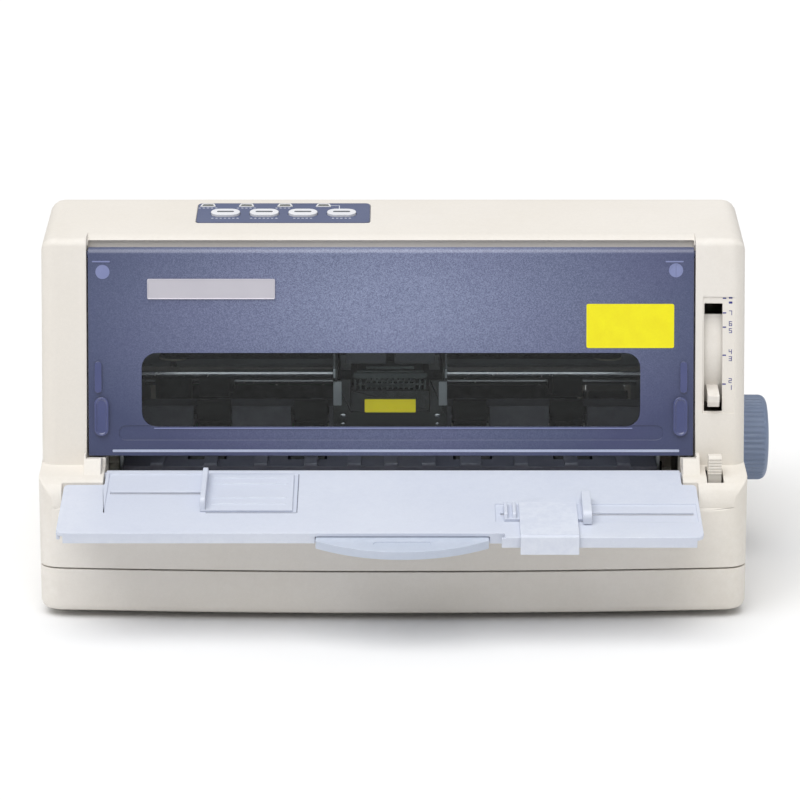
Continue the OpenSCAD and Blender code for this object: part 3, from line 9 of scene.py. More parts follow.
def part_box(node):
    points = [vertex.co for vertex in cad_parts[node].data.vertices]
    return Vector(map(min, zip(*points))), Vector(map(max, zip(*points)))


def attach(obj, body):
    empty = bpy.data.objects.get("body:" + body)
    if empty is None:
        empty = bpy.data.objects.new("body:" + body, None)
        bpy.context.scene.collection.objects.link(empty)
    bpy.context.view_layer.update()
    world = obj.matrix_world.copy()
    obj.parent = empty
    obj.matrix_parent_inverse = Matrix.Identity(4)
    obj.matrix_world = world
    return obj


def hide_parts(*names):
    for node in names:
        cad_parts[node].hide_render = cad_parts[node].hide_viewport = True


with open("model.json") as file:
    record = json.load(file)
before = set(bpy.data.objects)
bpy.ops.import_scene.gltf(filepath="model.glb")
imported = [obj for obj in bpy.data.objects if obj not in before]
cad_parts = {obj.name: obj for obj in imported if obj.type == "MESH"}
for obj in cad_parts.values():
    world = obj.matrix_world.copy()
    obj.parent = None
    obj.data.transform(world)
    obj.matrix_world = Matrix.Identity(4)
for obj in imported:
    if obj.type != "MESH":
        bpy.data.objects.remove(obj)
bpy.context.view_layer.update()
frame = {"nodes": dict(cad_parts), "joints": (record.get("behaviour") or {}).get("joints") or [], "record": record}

scene = bpy.context.scene

# ---- Sizes, in millimetres unless a name says otherwise ----

MM = 0.001
CASE_DEPTH = 350
WELD = 2e-6                     # metres
FLAT = radians(0.6)
CREASE = radians(31)

# Leans of the front face, the roof and the sheet tray.
FACE_LEAN = radians(9.19)
ROOF_SLOPE = radians(9.85)
REAR_LEAN = radians(39.91)
TRAY_SLOPE = radians(13)

# The casing's own frame: its middle, its front face and the desk.
case_low, case_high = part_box("lower_case")
CASE_MID = (case_low[0] + case_high[0]) / 2
FRONT_FACE = case_high[1] - CASE_DEPTH * MM


def at(x, y, z):
    """A place given from the casing's middle, its front face and the desk."""
    return Vector((CASE_MID + x * MM, FRONT_FACE + y * MM, z * MM))


def hinge(name):
    """Where a joint's pin lies."""
    return Vector(next(j["pos_m"] for j in frame["joints"] if j["name"] == name))


def middle(node):
    """The middle of a node's box."""
    low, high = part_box(node)
    return (Vector(low) + Vector(high)) / 2


cover_pin = hinge("front_cover_hinge")
COVER_MID = middle("front_cover").x
COVER = Matrix.Translation((COVER_MID, cover_pin.y, cover_pin.z)) @ Matrix.Rotation(-FACE_LEAN, 4, "X")
COVER_BACK = 4.5                # from the hinge line out to the cover's face
COVER_LENGTH = 122.8
PANEL = Matrix.Translation(at(-68, 97, 232.66)) @ Matrix.Rotation(ROOF_SLOPE, 4, "X")
rear_pin = hinge("rear_cover_hinge")
REAR = Matrix.Translation((COVER_MID, rear_pin.y, rear_pin.z)) @ Matrix.Rotation(REAR_LEAN, 4, "X")
tray_pin = hinge("tray_hinge")
TRAY = Matrix.Translation((CASE_MID, tray_pin.y, tray_pin.z)) @ Matrix.Rotation(TRAY_SLOPE, 4, "X")
TRAY_TOP = 3.8                  # from the hinge line up to the tray's top
PIN_REACH = 3                   # how far the cover's pins stand out of its sides
COVER_HALF = (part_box("front_cover")[1][0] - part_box("front_cover")[0][0]) / 2 / MM - PIN_REACH
MECH_X = -2                     # the carriage's middle, off the casing's
CARRIAGE_FRONT = 107            # its front wall
KEY_PITCH = 24
LAMP_SHIFT = -11.5              # from a key to its lamp, along the panel
LAMP_ROW = 12.9
KEY_ROW = -2.0
LIP = 1.9                       # thickness of the lips behind the covers
SLOT_ROW = -26                  # the rear cover's slots, down from its hinge line
SOCKETS = ((-125, 56), (-70, 14))   # each rear socket's place across, and its width
SOCKET_LEVEL = 43.0
SOCKET_RIM = 349.65

BODY_OF = {node: body for body, nodes in frame["record"]["behaviour"]["bodies"].items() for node in nodes}
SLOT_OF = {part["node"]: part["material_slot"] for part in frame["record"]["subparts"]}


# ---- Colours and shader groups ----

def ink(red, green, blue):
    """An sRGB colour of 0 to 255 as the shaders want it."""
    def linear(value):
        share = value / 255
        return share / 12.92 if share <= 0.04045 else ((share + 0.055) / 1.055) ** 2.4
    return (linear(red), linear(green), linear(blue), 1.0)


def shader_group(name, inputs, outputs):
    """A new node group, with its input and output nodes."""
    group = bpy.data.node_groups.new(name, "ShaderNodeTree")
    for label, kind, start in inputs:
        socket = group.interface.new_socket(label, in_out="INPUT", socket_type=kind)
        if start is not None:
            socket.default_value = start
    for label, kind in outputs:
        group.interface.new_socket(label, in_out="OUTPUT", socket_type=kind)
    return group, group.nodes.new("NodeGroupInput"), group.nodes.new("NodeGroupOutput")


def maths(tree, operation, first, second, clamp=False):
    """One sum; each side is a number or the socket that feeds it."""
    node = tree.nodes.new("ShaderNodeMath")
    node.operation = operation
    node.use_clamp = clamp
    for socket, value in zip(node.inputs, (first, second)):
        if isinstance(value, bpy.types.NodeSocket):
            tree.links.new(value, socket)
        else:
            socket.default_value = value
    return node.outputs[0]


def noise(tree, vector, scale, detail=2.0, rough=0.5):
    """A noise texture's value; the scale is a number or a socket."""
    node = tree.nodes.new("ShaderNodeTexNoise")
    node.inputs["Detail"].default_value = detail
    node.inputs["Roughness"].default_value = rough
    tree.links.new(vector, node.inputs["Vector"])
    if isinstance(scale, bpy.types.NodeSocket):
        tree.links.new(scale, node.inputs["Scale"])
    else:
        node.inputs["Scale"].default_value = scale
    return node.outputs["Fac"]


def spread(tree, value, low, high, to_low=0.0, to_high=1.0):
    """A value mapped from one range to another and kept inside it."""
    node = tree.nodes.new("ShaderNodeMapRange")
    node.inputs["From Min"].default_value = low
    node.inputs["From Max"].default_value = high
    node.inputs["To Min"].default_value = to_low
    node.inputs["To Max"].default_value = to_high
    tree.links.new(value, node.inputs["Value"])
    return node.outputs["Result"]


def blend_colours(tree, factor, first, second):
    """A mix of two colours, each a tuple or a socket."""
    node = tree.nodes.new("ShaderNodeMix")
    node.data_type = "RGBA"
    tree.links.new(factor, node.inputs[0])
    for socket, value in ((node.inputs[6], first), (node.inputs[7], second)):
        if isinstance(value, bpy.types.NodeSocket):
            tree.links.new(value, socket)
        else:
            socket.default_value = value
    return node.outputs[2]


def moulded_grain_group():
    """Spark-eroded grain of a moulding: its relief, and the slow drift of its tone."""
    group, enter, leave = shader_group(
        "moulded grain",
        [("Vector", "NodeSocketVector", None), ("Grain Scale", "NodeSocketFloat", 1400.0),
         ("Drift Scale", "NodeSocketFloat", 9.0)],
        [("Relief", "NodeSocketFloat"), ("Drift", "NodeSocketFloat")])
    fine = noise(group, enter.outputs["Vector"], enter.outputs["Grain Scale"], 3.0, 0.6)
    wider = maths(group, "MULTIPLY", enter.outputs["Grain Scale"], 0.3)
    coarse = noise(group, enter.outputs["Vector"], wider, 1.0)
    relief = maths(group, "ADD", maths(group, "MULTIPLY", fine, 0.65), maths(group, "MULTIPLY", coarse, 0.35))
    drift = noise(group, enter.outputs["Vector"], enter.outputs["Drift Scale"], 3.0, 0.55)
    group.links.new(relief, leave.inputs["Relief"])
    group.links.new(spread(group, drift, 0.3, 0.7), leave.inputs["Drift"])
    return group


def handling_group():
    """Where hands and cloths have polished a surface, and the dust that is left."""
    group, enter, leave = shader_group(
        "handling",
        [("Vector", "NodeSocketVector", None), ("Patch Scale", "NodeSocketFloat", 22.0)],
        [("Polish", "NodeSocketFloat"), ("Dust", "NodeSocketFloat")])
    patches = noise(group, enter.outputs["Vector"], enter.outputs["Patch Scale"], 5.0, 0.6)
    finer = maths(group, "MULTIPLY", enter.outputs["Patch Scale"], 30.0)
    specks = noise(group, enter.outputs["Vector"], finer, 2.0)
    group.links.new(spread(group, patches, 0.42, 0.68), leave.inputs["Polish"])
    dust = maths(group, "MULTIPLY", spread(group, specks, 0.62, 0.75), patches)
    group.links.new(dust, leave.inputs["Dust"])
    return group


def edge_wear_group():
    """A mask of the rubbed edges, broken up by noise."""
    group, enter, leave = shader_group(
        "edge wear",
        [("Vector", "NodeSocketVector", None), ("Amount", "NodeSocketFloat", 0.5)],
        [("Worn", "NodeSocketFloat")])
    geometry = group.nodes.new("ShaderNodeNewGeometry")
    sharp = spread(group, geometry.outputs["Pointiness"], 0.52, 0.62)
    broken = spread(group, noise(group, enter.outputs["Vector"], 160.0, 4.0, 0.65), 0.38, 0.62)
    patchy = maths(group, "MULTIPLY", sharp, broken)
    worn = maths(group, "MULTIPLY", patchy, enter.outputs["Amount"], clamp=True)
    group.links.new(worn, leave.inputs["Worn"])
    return group


def drawn_lines_group():
    """The fine lines that rolling, turning or brushing leaves along one axis."""
    group, enter, leave = shader_group(
        "drawn lines",
        [("Vector", "NodeSocketVector", None), ("Stretch", "NodeSocketVector", (1.0, 40.0, 40.0)),
         ("Line Scale", "NodeSocketFloat", 40.0)],
        [("Lines", "NodeSocketFloat"), ("Blotch", "NodeSocketFloat")])
    across = group.nodes.new("ShaderNodeVectorMath")
    across.operation = "MULTIPLY"
    group.links.new(enter.outputs["Vector"], across.inputs[0])
    group.links.new(enter.outputs["Stretch"], across.inputs[1])
    lines = noise(group, across.outputs[0], enter.outputs["Line Scale"], 4.0, 0.7)
    group.links.new(lines, leave.inputs["Lines"])
    group.links.new(noise(group, enter.outputs["Vector"], 35.0, 3.0), leave.inputs["Blotch"])
    return group


def flake_group():
    """Pale flakes in a tinted plastic, cell by cell."""
    group, enter, leave = shader_group(
        "flakes",
        [("Vector", "NodeSocketVector", None), ("Flake Scale", "NodeSocketFloat", 900.0)],
        [("Flake", "NodeSocketFloat"), ("Cloud", "NodeSocketFloat")])
    cells = group.nodes.new("ShaderNodeTexVoronoi")
    group.links.new(enter.outputs["Vector"], cells.inputs["Vector"])
    group.links.new(enter.outputs["Flake Scale"], cells.inputs["Scale"])
    bright = group.nodes.new("ShaderNodeSeparateColor")
    group.links.new(cells.outputs["Color"], bright.inputs[0])
    cloud = noise(group, enter.outputs["Vector"], 14.0, 3.0)
    group.links.new(spread(group, bright.outputs[0], 0.15, 1.0), leave.inputs["Flake"])
    group.links.new(spread(group, cloud, 0.35, 0.65), leave.inputs["Cloud"])
    return group


def broad_patch_group():
    """How near a place is to the middle of a broad soft patch: 1 there and 0 at its rim; it places the front
    cover's painted sheen.
    """
    group, enter, leave = shader_group(
        "broad patch",
        [("Vector", "NodeSocketVector", None), ("Centre", "NodeSocketVector", (0.0, 0.0, 0.0)),
         ("Reach", "NodeSocketVector", (1.0, 1.0, 1.0))],
        [("Near", "NodeSocketFloat")])
    offset = group.nodes.new("ShaderNodeVectorMath")
    offset.operation = "SUBTRACT"
    group.links.new(enter.outputs["Vector"], offset.inputs[0])
    group.links.new(enter.outputs["Centre"], offset.inputs[1])
    share = group.nodes.new("ShaderNodeVectorMath")
    share.operation = "DIVIDE"
    group.links.new(offset.outputs[0], share.inputs[0])
    group.links.new(enter.outputs["Reach"], share.inputs[1])
    length = group.nodes.new("ShaderNodeVectorMath")
    length.operation = "LENGTH"
    group.links.new(share.outputs[0], length.inputs[0])
    group.links.new(spread(group, length.outputs["Value"], 0.15, 1.0, 1.0, 0.0), leave.inputs["Near"])
    return group


GRAIN = moulded_grain_group()
HANDLING = handling_group()
WEAR = edge_wear_group()
LINES = drawn_lines_group()
FLAKES = flake_group()
SHEEN_PATCH = broad_patch_group()


# ---- Materials ----

SPECK = (0.02, 0.02, 0.02, 1.0)
# The casing's two tones, roughness, and its grain's depth, scale and drift.
IVORY = (ink(235, 230, 223), ink(230, 224, 214), 0.48, 0.035, 1500.0, 7.0)


def new_material(name):
    """An empty material: its tree, its principled shader and its object coordinates."""
    material = bpy.data.materials.new(name)
    material.use_nodes = True
    tree = material.node_tree
    shader = tree.nodes["Principled BSDF"]
    place = tree.nodes.new("ShaderNodeTexCoord").outputs["Object"]
    return material, tree, shader, place


def effect(tree, group, place, **values):
    """A shader group placed in a material with its own values."""
    node = tree.nodes.new("ShaderNodeGroup")
    node.node_tree = group
    tree.links.new(place, node.inputs["Vector"])
    for label, value in values.items():
        node.inputs[label.replace("_", " ")].default_value = value
    return node.outputs


def relief(tree, shader, height, depth, strength=1.0):
    """Raises the surface by a height socket, up to a depth in millimetres."""
    bump = tree.nodes.new("ShaderNodeBump")
    bump.inputs["Strength"].default_value = strength
    bump.inputs["Distance"].default_value = depth * MM
    tree.links.new(height, bump.inputs["Height"])
    tree.links.new(bump.outputs[0], shader.inputs["Normal"])


def moulded(name, tone, second_tone, rough, depth=0.03, grain=1400.0, drift=9.0, worn_tone=None, coat=0.0):
    """A moulded plastic: two tones that drift, grain, polished patches, dust and rubbed edges."""
    material, tree, shader, place = new_material(name)
    grained = effect(tree, GRAIN, place, Grain_Scale=grain, Drift_Scale=drift)
    handled = effect(tree, HANDLING, place)
    colour = blend_colours(tree, grained["Drift"], tone, second_tone)
    speckled = blend_colours(tree, maths(tree, "MULTIPLY", grained["Relief"], 0.12), colour, SPECK)
    if worn_tone:
        worn = effect(tree, WEAR, place, Amount=0.6)
        speckled = blend_colours(tree, worn["Worn"], speckled, worn_tone)
    tree.links.new(speckled, shader.inputs["Base Color"])
    shine = maths(tree, "ADD", rough, maths(tree, "MULTIPLY", grained["Relief"], 0.12))
    duller = maths(tree, "ADD", shine, maths(tree, "MULTIPLY", handled["Dust"], 0.2))
    polish = maths(tree, "MULTIPLY", handled["Polish"], 0.09)
    tree.links.new(maths(tree, "SUBTRACT", duller, polish, clamp=True), shader.inputs["Roughness"])
    shader.inputs["Coat Weight"].default_value = coat
    shader.inputs["Coat Roughness"].default_value = 0.15
    relief(tree, shader, grained["Relief"], depth)
    return material


def ivory_case():
    """Warm ivory housing plastic with a fine matt texture."""
    return moulded("ivory case", *IVORY, worn_tone=ink(245, 242, 237))


def tray_plastic():
    """Cool pale plastic of the sheet tray and its guides."""
    return moulded("tray plastic", ink(217, 222, 234), ink(208, 214, 229), 0.36, 0.02, 1700.0, 8.0,
                   ink(232, 236, 243))


def tinted_plastic():
    """Smoky slate-violet of the front cover with fine pale flakes, and a painted sheen: the flakes are mixed in
    paler towards the cover's middle.
    """
    material, tree, shader, place = new_material("tinted plastic")
    flakes = effect(tree, FLAKES, place, Flake_Scale=2300.0)
    grained = effect(tree, GRAIN, place, Grain_Scale=900.0, Drift_Scale=6.0)
    handled = effect(tree, HANDLING, place)
    # painted sheen: the flakes' pale tone is mixed in more strongly near the cover's middle, standing in for light
    # it catches there
    lit = effect(tree, SHEEN_PATCH, place, Centre=COVER @ Vector((0.0, 0.0, -0.03)), Reach=(0.215, 0.4, 0.105))
    deep = blend_colours(tree, flakes["Cloud"], ink(54, 63, 98), ink(58, 63, 101))
    catch = maths(tree, "ADD", 0.20, maths(tree, "MULTIPLY", flakes["Flake"], 0.30))
    reach = maths(tree, "ADD", 0.06, maths(tree, "MULTIPLY", lit["Near"], 1.15))
    share = maths(tree, "MULTIPLY", catch, reach)
    tree.links.new(blend_colours(tree, share, deep, ink(176, 186, 218)), shader.inputs["Base Color"])
    tree.links.new(maths(tree, "SUBTRACT", 0.40, maths(tree, "MULTIPLY", handled["Polish"], 0.08)),
                   shader.inputs["Roughness"])
    shader.inputs["Coat Weight"].default_value = 0.6
    shader.inputs["Coat Roughness"].default_value = 0.1
    relief(tree, shader, grained["Relief"], 0.03)
    return material


def knob_plastic():
    """Slate blue of the platen knob."""
    return moulded("knob plastic", ink(128, 143, 171), ink(119, 134, 162), 0.4, 0.03, 1500.0, 20.0,
                   ink(160, 173, 197))


def panel_film():
    """Printed film over the button panel, with a faint orange-peel."""
    return moulded("panel film", ink(84, 95, 131), ink(78, 88, 124), 0.34, 0.02, 700.0, 25.0, coat=0.2)


def white_plastic():
    """White keys and lamp surrounds."""
    return moulded("white plastic", ink(238, 239, 243), ink(230, 231, 237), 0.3, 0.01, 1600.0, 30.0,
                   ink(214, 212, 206))


def light_lens():
    """Unlit smoky lens of the lamps."""
    return moulded("light lens", ink(48, 56, 42), ink(58, 62, 44), 0.18, 0.005, 900.0, 60.0, coat=0.4)


def rubber():
    """Soft black rubber with a dusty bloom."""
    return moulded("rubber", ink(26, 26, 27), ink(36, 35, 35), 0.7, 0.015, 1100.0, 30.0, ink(60, 59, 58))


def grey_plastic():
    """Dull grey-violet of the paper guides and rollers."""
    return moulded("grey plastic", ink(92, 92, 103), ink(82, 83, 95), 0.45, 0.03, 1300.0, 14.0,
                   ink(122, 122, 132))


def dark_plastic():
    """Near-black glass-filled plastic of the mechanism."""
    return moulded("dark plastic", ink(34, 38, 37), ink(28, 31, 31), 0.42, 0.04, 1200.0, 18.0,
                   ink(70, 74, 74))


def nylon():
    """Milky nylon of the gears and pulleys."""
    return moulded("nylon", ink(226, 222, 206), ink(214, 209, 190), 0.35, 0.01, 1500.0, 40.0,
                   ink(238, 236, 226))


def drawn_metal(name, tone, second_tone, rough, stretch, lines=55.0, depth=0.008):
    """A metal with the lines of its making along one axis."""
    material, tree, shader, place = new_material(name)
    drawn = effect(tree, LINES, place, Stretch=stretch, Line_Scale=lines)
    handled = effect(tree, HANDLING, place)
    tree.links.new(blend_colours(tree, drawn["Blotch"], tone, second_tone), shader.inputs["Base Color"])
    shine = maths(tree, "ADD", rough, maths(tree, "MULTIPLY", drawn["Lines"], 0.16))
    dust = maths(tree, "MULTIPLY", handled["Dust"], 0.2)
    tree.links.new(maths(tree, "ADD", shine, dust), shader.inputs["Roughness"])
    shader.inputs["Metallic"].default_value = 1.0
    relief(tree, shader, drawn["Lines"], depth)
    return material


def sheet_steel():
    """Zinc-plated sheet."""
    return drawn_metal("sheet steel", ink(168, 172, 174), ink(146, 152, 156), 0.34, (1.0, 18.0, 1.0))


def bright_steel():
    """Ground and polished rods."""
    return drawn_metal("bright steel", ink(214, 216, 219), ink(196, 199, 204), 0.12, (45.0, 1.0, 1.0),
                       60.0, 0.003)


def cast_alloy():
    """Cast body of the print head."""
    return drawn_metal("cast alloy", ink(92, 98, 97), ink(70, 76, 76), 0.42, (6.0, 6.0, 6.0), 90.0, 0.04)


def brass():
    """Turned brass."""
    return drawn_metal("brass", ink(205, 172, 96), ink(183, 146, 74), 0.24, (1.0, 30.0, 30.0), 50.0, 0.004)


def nameplate_metal():
    """Satin silver foil of the bare nameplate, under lacquer."""
    material = drawn_metal("nameplate metal", ink(214, 211, 219), ink(202, 199, 209), 0.3, (1.0, 60.0, 60.0),
                           60.0, 0.004)
    material.node_tree.nodes["Principled BSDF"].inputs["Metallic"].default_value = 0.45
    return material


def label_film():
    """Bright yellow film of the carriage's label, with a painted glow: a little emission so that it reads behind
    the pane.
    """
    material = moulded("label film", ink(250, 236, 10), ink(246, 228, 8), 0.4, 0.006, 2200.0, 120.0)
    shader = material.node_tree.nodes["Principled BSDF"]
    # painted glow: the label gives off a little light of its own
    shader.inputs["Emission Color"].default_value = ink(250, 232, 10)
    shader.inputs["Emission Strength"].default_value = 0.22
    return material


def circuit_board():
    """Green lacquer over copper tracks."""
    material, tree, shader, place = new_material("circuit board")
    cells = tree.nodes.new("ShaderNodeTexBrick")
    tree.links.new(place, cells.inputs["Vector"])
    cells.inputs["Scale"].default_value = 120.0
    cells.inputs["Mortar Size"].default_value = 0.012
    cells.inputs["Color1"].default_value = ink(22, 84, 46)
    cells.inputs["Color2"].default_value = ink(26, 92, 52)
    cells.inputs["Mortar"].default_value = ink(52, 128, 74)
    tree.links.new(cells.outputs["Color"], shader.inputs["Base Color"])
    handled = effect(tree, HANDLING, place)
    tree.links.new(spread(tree, handled["Polish"], 0.0, 1.0, 0.38, 0.26), shader.inputs["Roughness"])
    relief(tree, shader, cells.outputs["Fac"], 0.03)
    return material


def window_pane():
    """Clear, faintly smoked pane; lamp light passes it so that the mechanism behind is lit."""
    material, tree, shader, place = new_material("window pane")
    handled = effect(tree, HANDLING, place, Patch_Scale=16.0)
    shader.inputs["Base Color"].default_value = (0.86, 0.90, 0.91, 1.0)
    shader.inputs["Transmission Weight"].default_value = 1.0
    shader.inputs["IOR"].default_value = 1.3
    shader.inputs["Specular IOR Level"].default_value = 0.3
    tree.links.new(spread(tree, handled["Polish"], 0.0, 1.0, 0.02, 0.045), shader.inputs["Roughness"])
    clear = tree.nodes.new("ShaderNodeBsdfTransparent")
    clear.inputs["Color"].default_value = (0.74, 0.79, 0.81, 1.0)
    path = tree.nodes.new("ShaderNodeLightPath")
    mix = tree.nodes.new("ShaderNodeMixShader")
    tree.links.new(path.outputs["Is Shadow Ray"], mix.inputs[0])
    tree.links.new(shader.outputs[0], mix.inputs[1])
    tree.links.new(clear.outputs[0], mix.inputs[2])
    tree.links.new(mix.outputs[0], tree.nodes["Material Output"].inputs["Surface"])
    return material


def printed_ink(name, tone, second_tone):
    """Screen-printed ink, a little uneven."""
    return moulded(name, tone, second_tone, 0.4, 0.006, 2200.0, 120.0)


FINISH = {
    "ivory_case": ivory_case(), "tray_plastic": tray_plastic(), "tinted_plastic": tinted_plastic(),
    "window_pane": window_pane(), "knob_plastic": knob_plastic(), "panel_film": panel_film(),
    "white_plastic": white_plastic(), "light_lens": light_lens(), "rubber": rubber(),
    "grey_plastic": grey_plastic(), "dark_plastic": dark_plastic(), "sheet_steel": sheet_steel(),
    "bright_steel": bright_steel(), "cast_alloy": cast_alloy(), "nylon": nylon(), "brass": brass(),
    "circuit_board": circuit_board(),
}
WHITE_INK = printed_ink("white ink", ink(232, 235, 244), ink(214, 219, 232))
BLUE_INK = printed_ink("blue ink", ink(44, 48, 128), ink(58, 62, 140))
YELLOW_FILM = printed_ink("yellow film", ink(248, 238, 6), ink(243, 230, 4))
SILVER = nameplate_metal()
ARM_GREY = moulded("cassette grey", ink(62, 66, 72), ink(54, 58, 64), 0.4, 0.03, 1300.0, 20.0)
PALE_VIOLET = moulded("pale violet", ink(138, 146, 188), ink(128, 136, 180), 0.3, 0.01, 1400.0, 40.0,
                      coat=0.4)
GLOSSY_TINT = moulded("glossy tint", ink(70, 78, 122), ink(80, 86, 132), 0.14, 0.01, 1400.0, 30.0, coat=1.0)
PLAIN_IVORY = moulded("plain ivory", *IVORY)
# painted highlight: a pale tone for the light caught by the bevel along the cover's foot
PAINTED_EDGE_HIGHLIGHT = moulded("lit edge", ink(186, 194, 218), ink(172, 180, 208), 0.25, 0.01, 1400.0, 30.0, coat=0.4)
# painted shade: the grey line stands for the shade along a sunk field's edges
PAINTED_SHADE_LINE = printed_ink("grey line", ink(118, 121, 136), ink(132, 135, 150))
# painted shade: a darker copy of the tray plastic for the extension, which lies in the tray's shade
PAINTED_SHADE_EXTENSION = moulded("extension plastic", ink(196, 204, 219), ink(188, 197, 214), 0.38, 0.02, 1700.0, 8.0,
                    ink(214, 220, 231))
# painted shade: the dark line on each key stands for the shade in its dished middle
PAINTED_SHADE_INLAY = moulded("dark inlay", ink(92, 96, 104), ink(78, 82, 92), 0.4, 0.01, 1500.0, 60.0)


# ---- Pieces ----

def break_edges(shape, radius):
    """Marks how far each sharp edge is broken: the radius, or less where a neighbour is near."""
    share = shape.edges.layers.float.new("bevel_weight_edge")
    for line in shape.edges:
        if len(line.link_faces) != 2 or line.calc_face_angle() < CREASE:
            continue
        room = radius * MM
        along = (line.verts[1].co - line.verts[0].co).normalized()
        for end in line.verts:
            for other in end.link_edges:
                if other is line or not set(other.link_faces) & set(line.link_faces):
                    continue
                reach = other.other_vert(end).co - end.co
                across = (reach - along * reach.dot(along)).length
                if across > 0.5 * reach.length:
                    room = min(room, 0.42 * across)
        line[share] = room / (radius * MM)


def place_piece(name, shape, body, material, edge=0.0, segments=2, stands_for=()):
    """Makes a bmesh a finished piece that rides on a body; edge is the radius of its broken edges."""
    for face in shape.faces:
        face.smooth = True
    if edge:
        break_edges(shape, edge)
    else:
        for line in shape.edges:
            line.smooth = len(line.link_faces) == 2 and line.calc_face_angle() < CREASE
    mesh = bpy.data.meshes.new(name)
    shape.to_mesh(mesh)
    shape.free()
    mesh.materials.append(material)
    piece = bpy.data.objects.new(name, mesh)
    scene.collection.objects.link(piece)
    if edge:
        bevel = piece.modifiers.new("broken edges", "BEVEL")
        bevel.width = edge * MM
        bevel.segments = segments
        bevel.limit_method = "WEIGHT"
        bevel.use_clamp_overlap = False
        bevel.miter_outer = "MITER_ARC"
    shade = piece.modifiers.new("shading", "WEIGHTED_NORMAL")
    shade.keep_sharp = True
    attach(piece, body)
    if stands_for:
        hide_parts(*stands_for)
    return piece


def welded(node):
    """A node's triangles as one closed skin with its flat faces whole, or in parts that bulge nowhere."""
    shape = bmesh.new()
    shape.from_mesh(frame["nodes"][node].data)
    bmesh.ops.remove_doubles(shape, verts=shape.verts, dist=WELD)
    bmesh.ops.dissolve_limit(shape, angle_limit=FLAT, use_dissolve_boundaries=False,
                             verts=shape.verts, edges=shape.edges)
    if node not in PLAIN_FACES:
        bmesh.ops.connect_verts_concave(shape, faces=shape.faces)
    return shape


# Nodes whose flat faces stay whole, notches and all.
PLAIN_FACES = {"lower_case", "rear_cover"}
# Nodes that get a skin, with the radius of its broken edges; the rear cover's stay sharp by its slots.
BROKEN_EDGES = {
    "upper_case": 0.55, "lower_case": 0.5, "front_cover": 0.32, "rear_cover": 0.0, "paper_tray": 0.4,
    "left_edge_guide": 0.3, "right_edge_guide": 0.3, "tray_extension": 0.35, "control_panel": 0.15,
    "eject_button": 0.35, "feed_button": 0.35, "speed_button": 0.35, "online_button": 0.35,
    "status_lights": 0.2, "thickness_lever": 0.35, "release_lever": 0.2, "platen_knob": 0.16,
    "pinch_roller_guide": 0.25, "lower_paper_guide": 0.25, "rear_paper_guide": 0.25,
    "rear_pinch_roller": 0.3, "front_pinch_roller": 0.3, "rear_feed_roller": 0.3, "front_feed_roller": 0.3,
    "carriage": 0.3, "print_head": 0.2, "ribbon_cassette": 0.5, "ribbon_knob": 0.2, "platen_bar": 0.2,
    "cover_bumpers": 0.3, "power_inlet": 0.3, "power_switch": 0.3, "left_tractor": 0.3, "right_tractor": 0.3,
    "left_tractor_door": 0.2, "right_tractor_door": 0.2, "rubber_feet": 0.3,
}


# Nodes with a finish of their own: the extension's darker tone, which is painted shade from the tray above it, and
# large flat faces that show no rubbed edge.
OWN_FINISH = {"tray_extension": PAINTED_SHADE_EXTENSION, "rear_cover": PLAIN_IVORY}


def dress_nodes():
    """Every node gets its finish; the mouldings get a skin with broken edges."""
    for node, solid in frame["nodes"].items():
        material = OWN_FINISH.get(node) or FINISH[SLOT_OF[node]]
        for slot in solid.material_slots:
            slot.material = material
        if node in BROKEN_EDGES:
            place_piece(node + "_moulding", welded(node), BODY_OF[node], material,
                        edge=BROKEN_EDGES[node], stands_for=(node,))


def rounded_plate(width, height, radius, thickness, steps=4):
    """A plate about the origin in x and z whose back is y = 0 and whose face is y = -thickness."""
    shape = bmesh.new()
    corners = []
    for turn, (sx, sz) in enumerate(((1, -1), (1, 1), (-1, 1), (-1, -1))):
        for step in range(steps + 1):
            angle = radians(90) * (turn - 1 + step / steps)
            corners.append(shape.verts.new(((sx * (width / 2 - radius) + radius * cos(angle)) * MM, 0,
                                            (sz * (height / 2 - radius) + radius * sin(angle)) * MM)))
    shape.faces.new(corners)
    grown = bmesh.ops.extrude_face_region(shape, geom=list(shape.faces))
    lifted = [v for v in grown["geom"] if isinstance(v, bmesh.types.BMVert)]
    bmesh.ops.translate(shape, vec=(0, -thickness * MM, 0), verts=lifted)
    bmesh.ops.recalc_face_normals(shape, faces=shape.faces)
    return shape


def boxed(width, height, depth, radius=0.5):
    """A bar or sheet with softly rounded corners, its back at y = 0."""
    return rounded_plate(width, height, radius, depth, 3)


def join(shape, other, where):
    """Adds one bmesh to another at a place, and frees it."""
    bmesh.ops.transform(other, matrix=where, verts=other.verts)
    part = bpy.data.meshes.new("part")
    other.to_mesh(part)
    other.free()
    shape.from_mesh(part)
    bpy.data.meshes.remove(part)


def on_cover(x, z, lift=0.0):
    """A place on the front cover's face."""
    return COVER @ Matrix.Translation((x * MM, -(COVER_BACK + lift) * MM, z * MM))


def on_panel(x, y, lift=0.0):
    """A place on the button panel, where a plate lies flat on it."""
    place = Matrix.Translation((x * MM, y * MM, (0.3 + lift) * MM))
    return PANEL @ place @ Matrix.Rotation(-pi / 2, 4, "X")


def on_tray(x, y, lift=0.0):
    """A place on the sheet tray's top, where a plate lies flat on it."""
    place = Matrix.Translation((x * MM, y * MM, (TRAY_TOP + lift) * MM))
    return TRAY @ place @ Matrix.Rotation(-pi / 2, 4, "X")


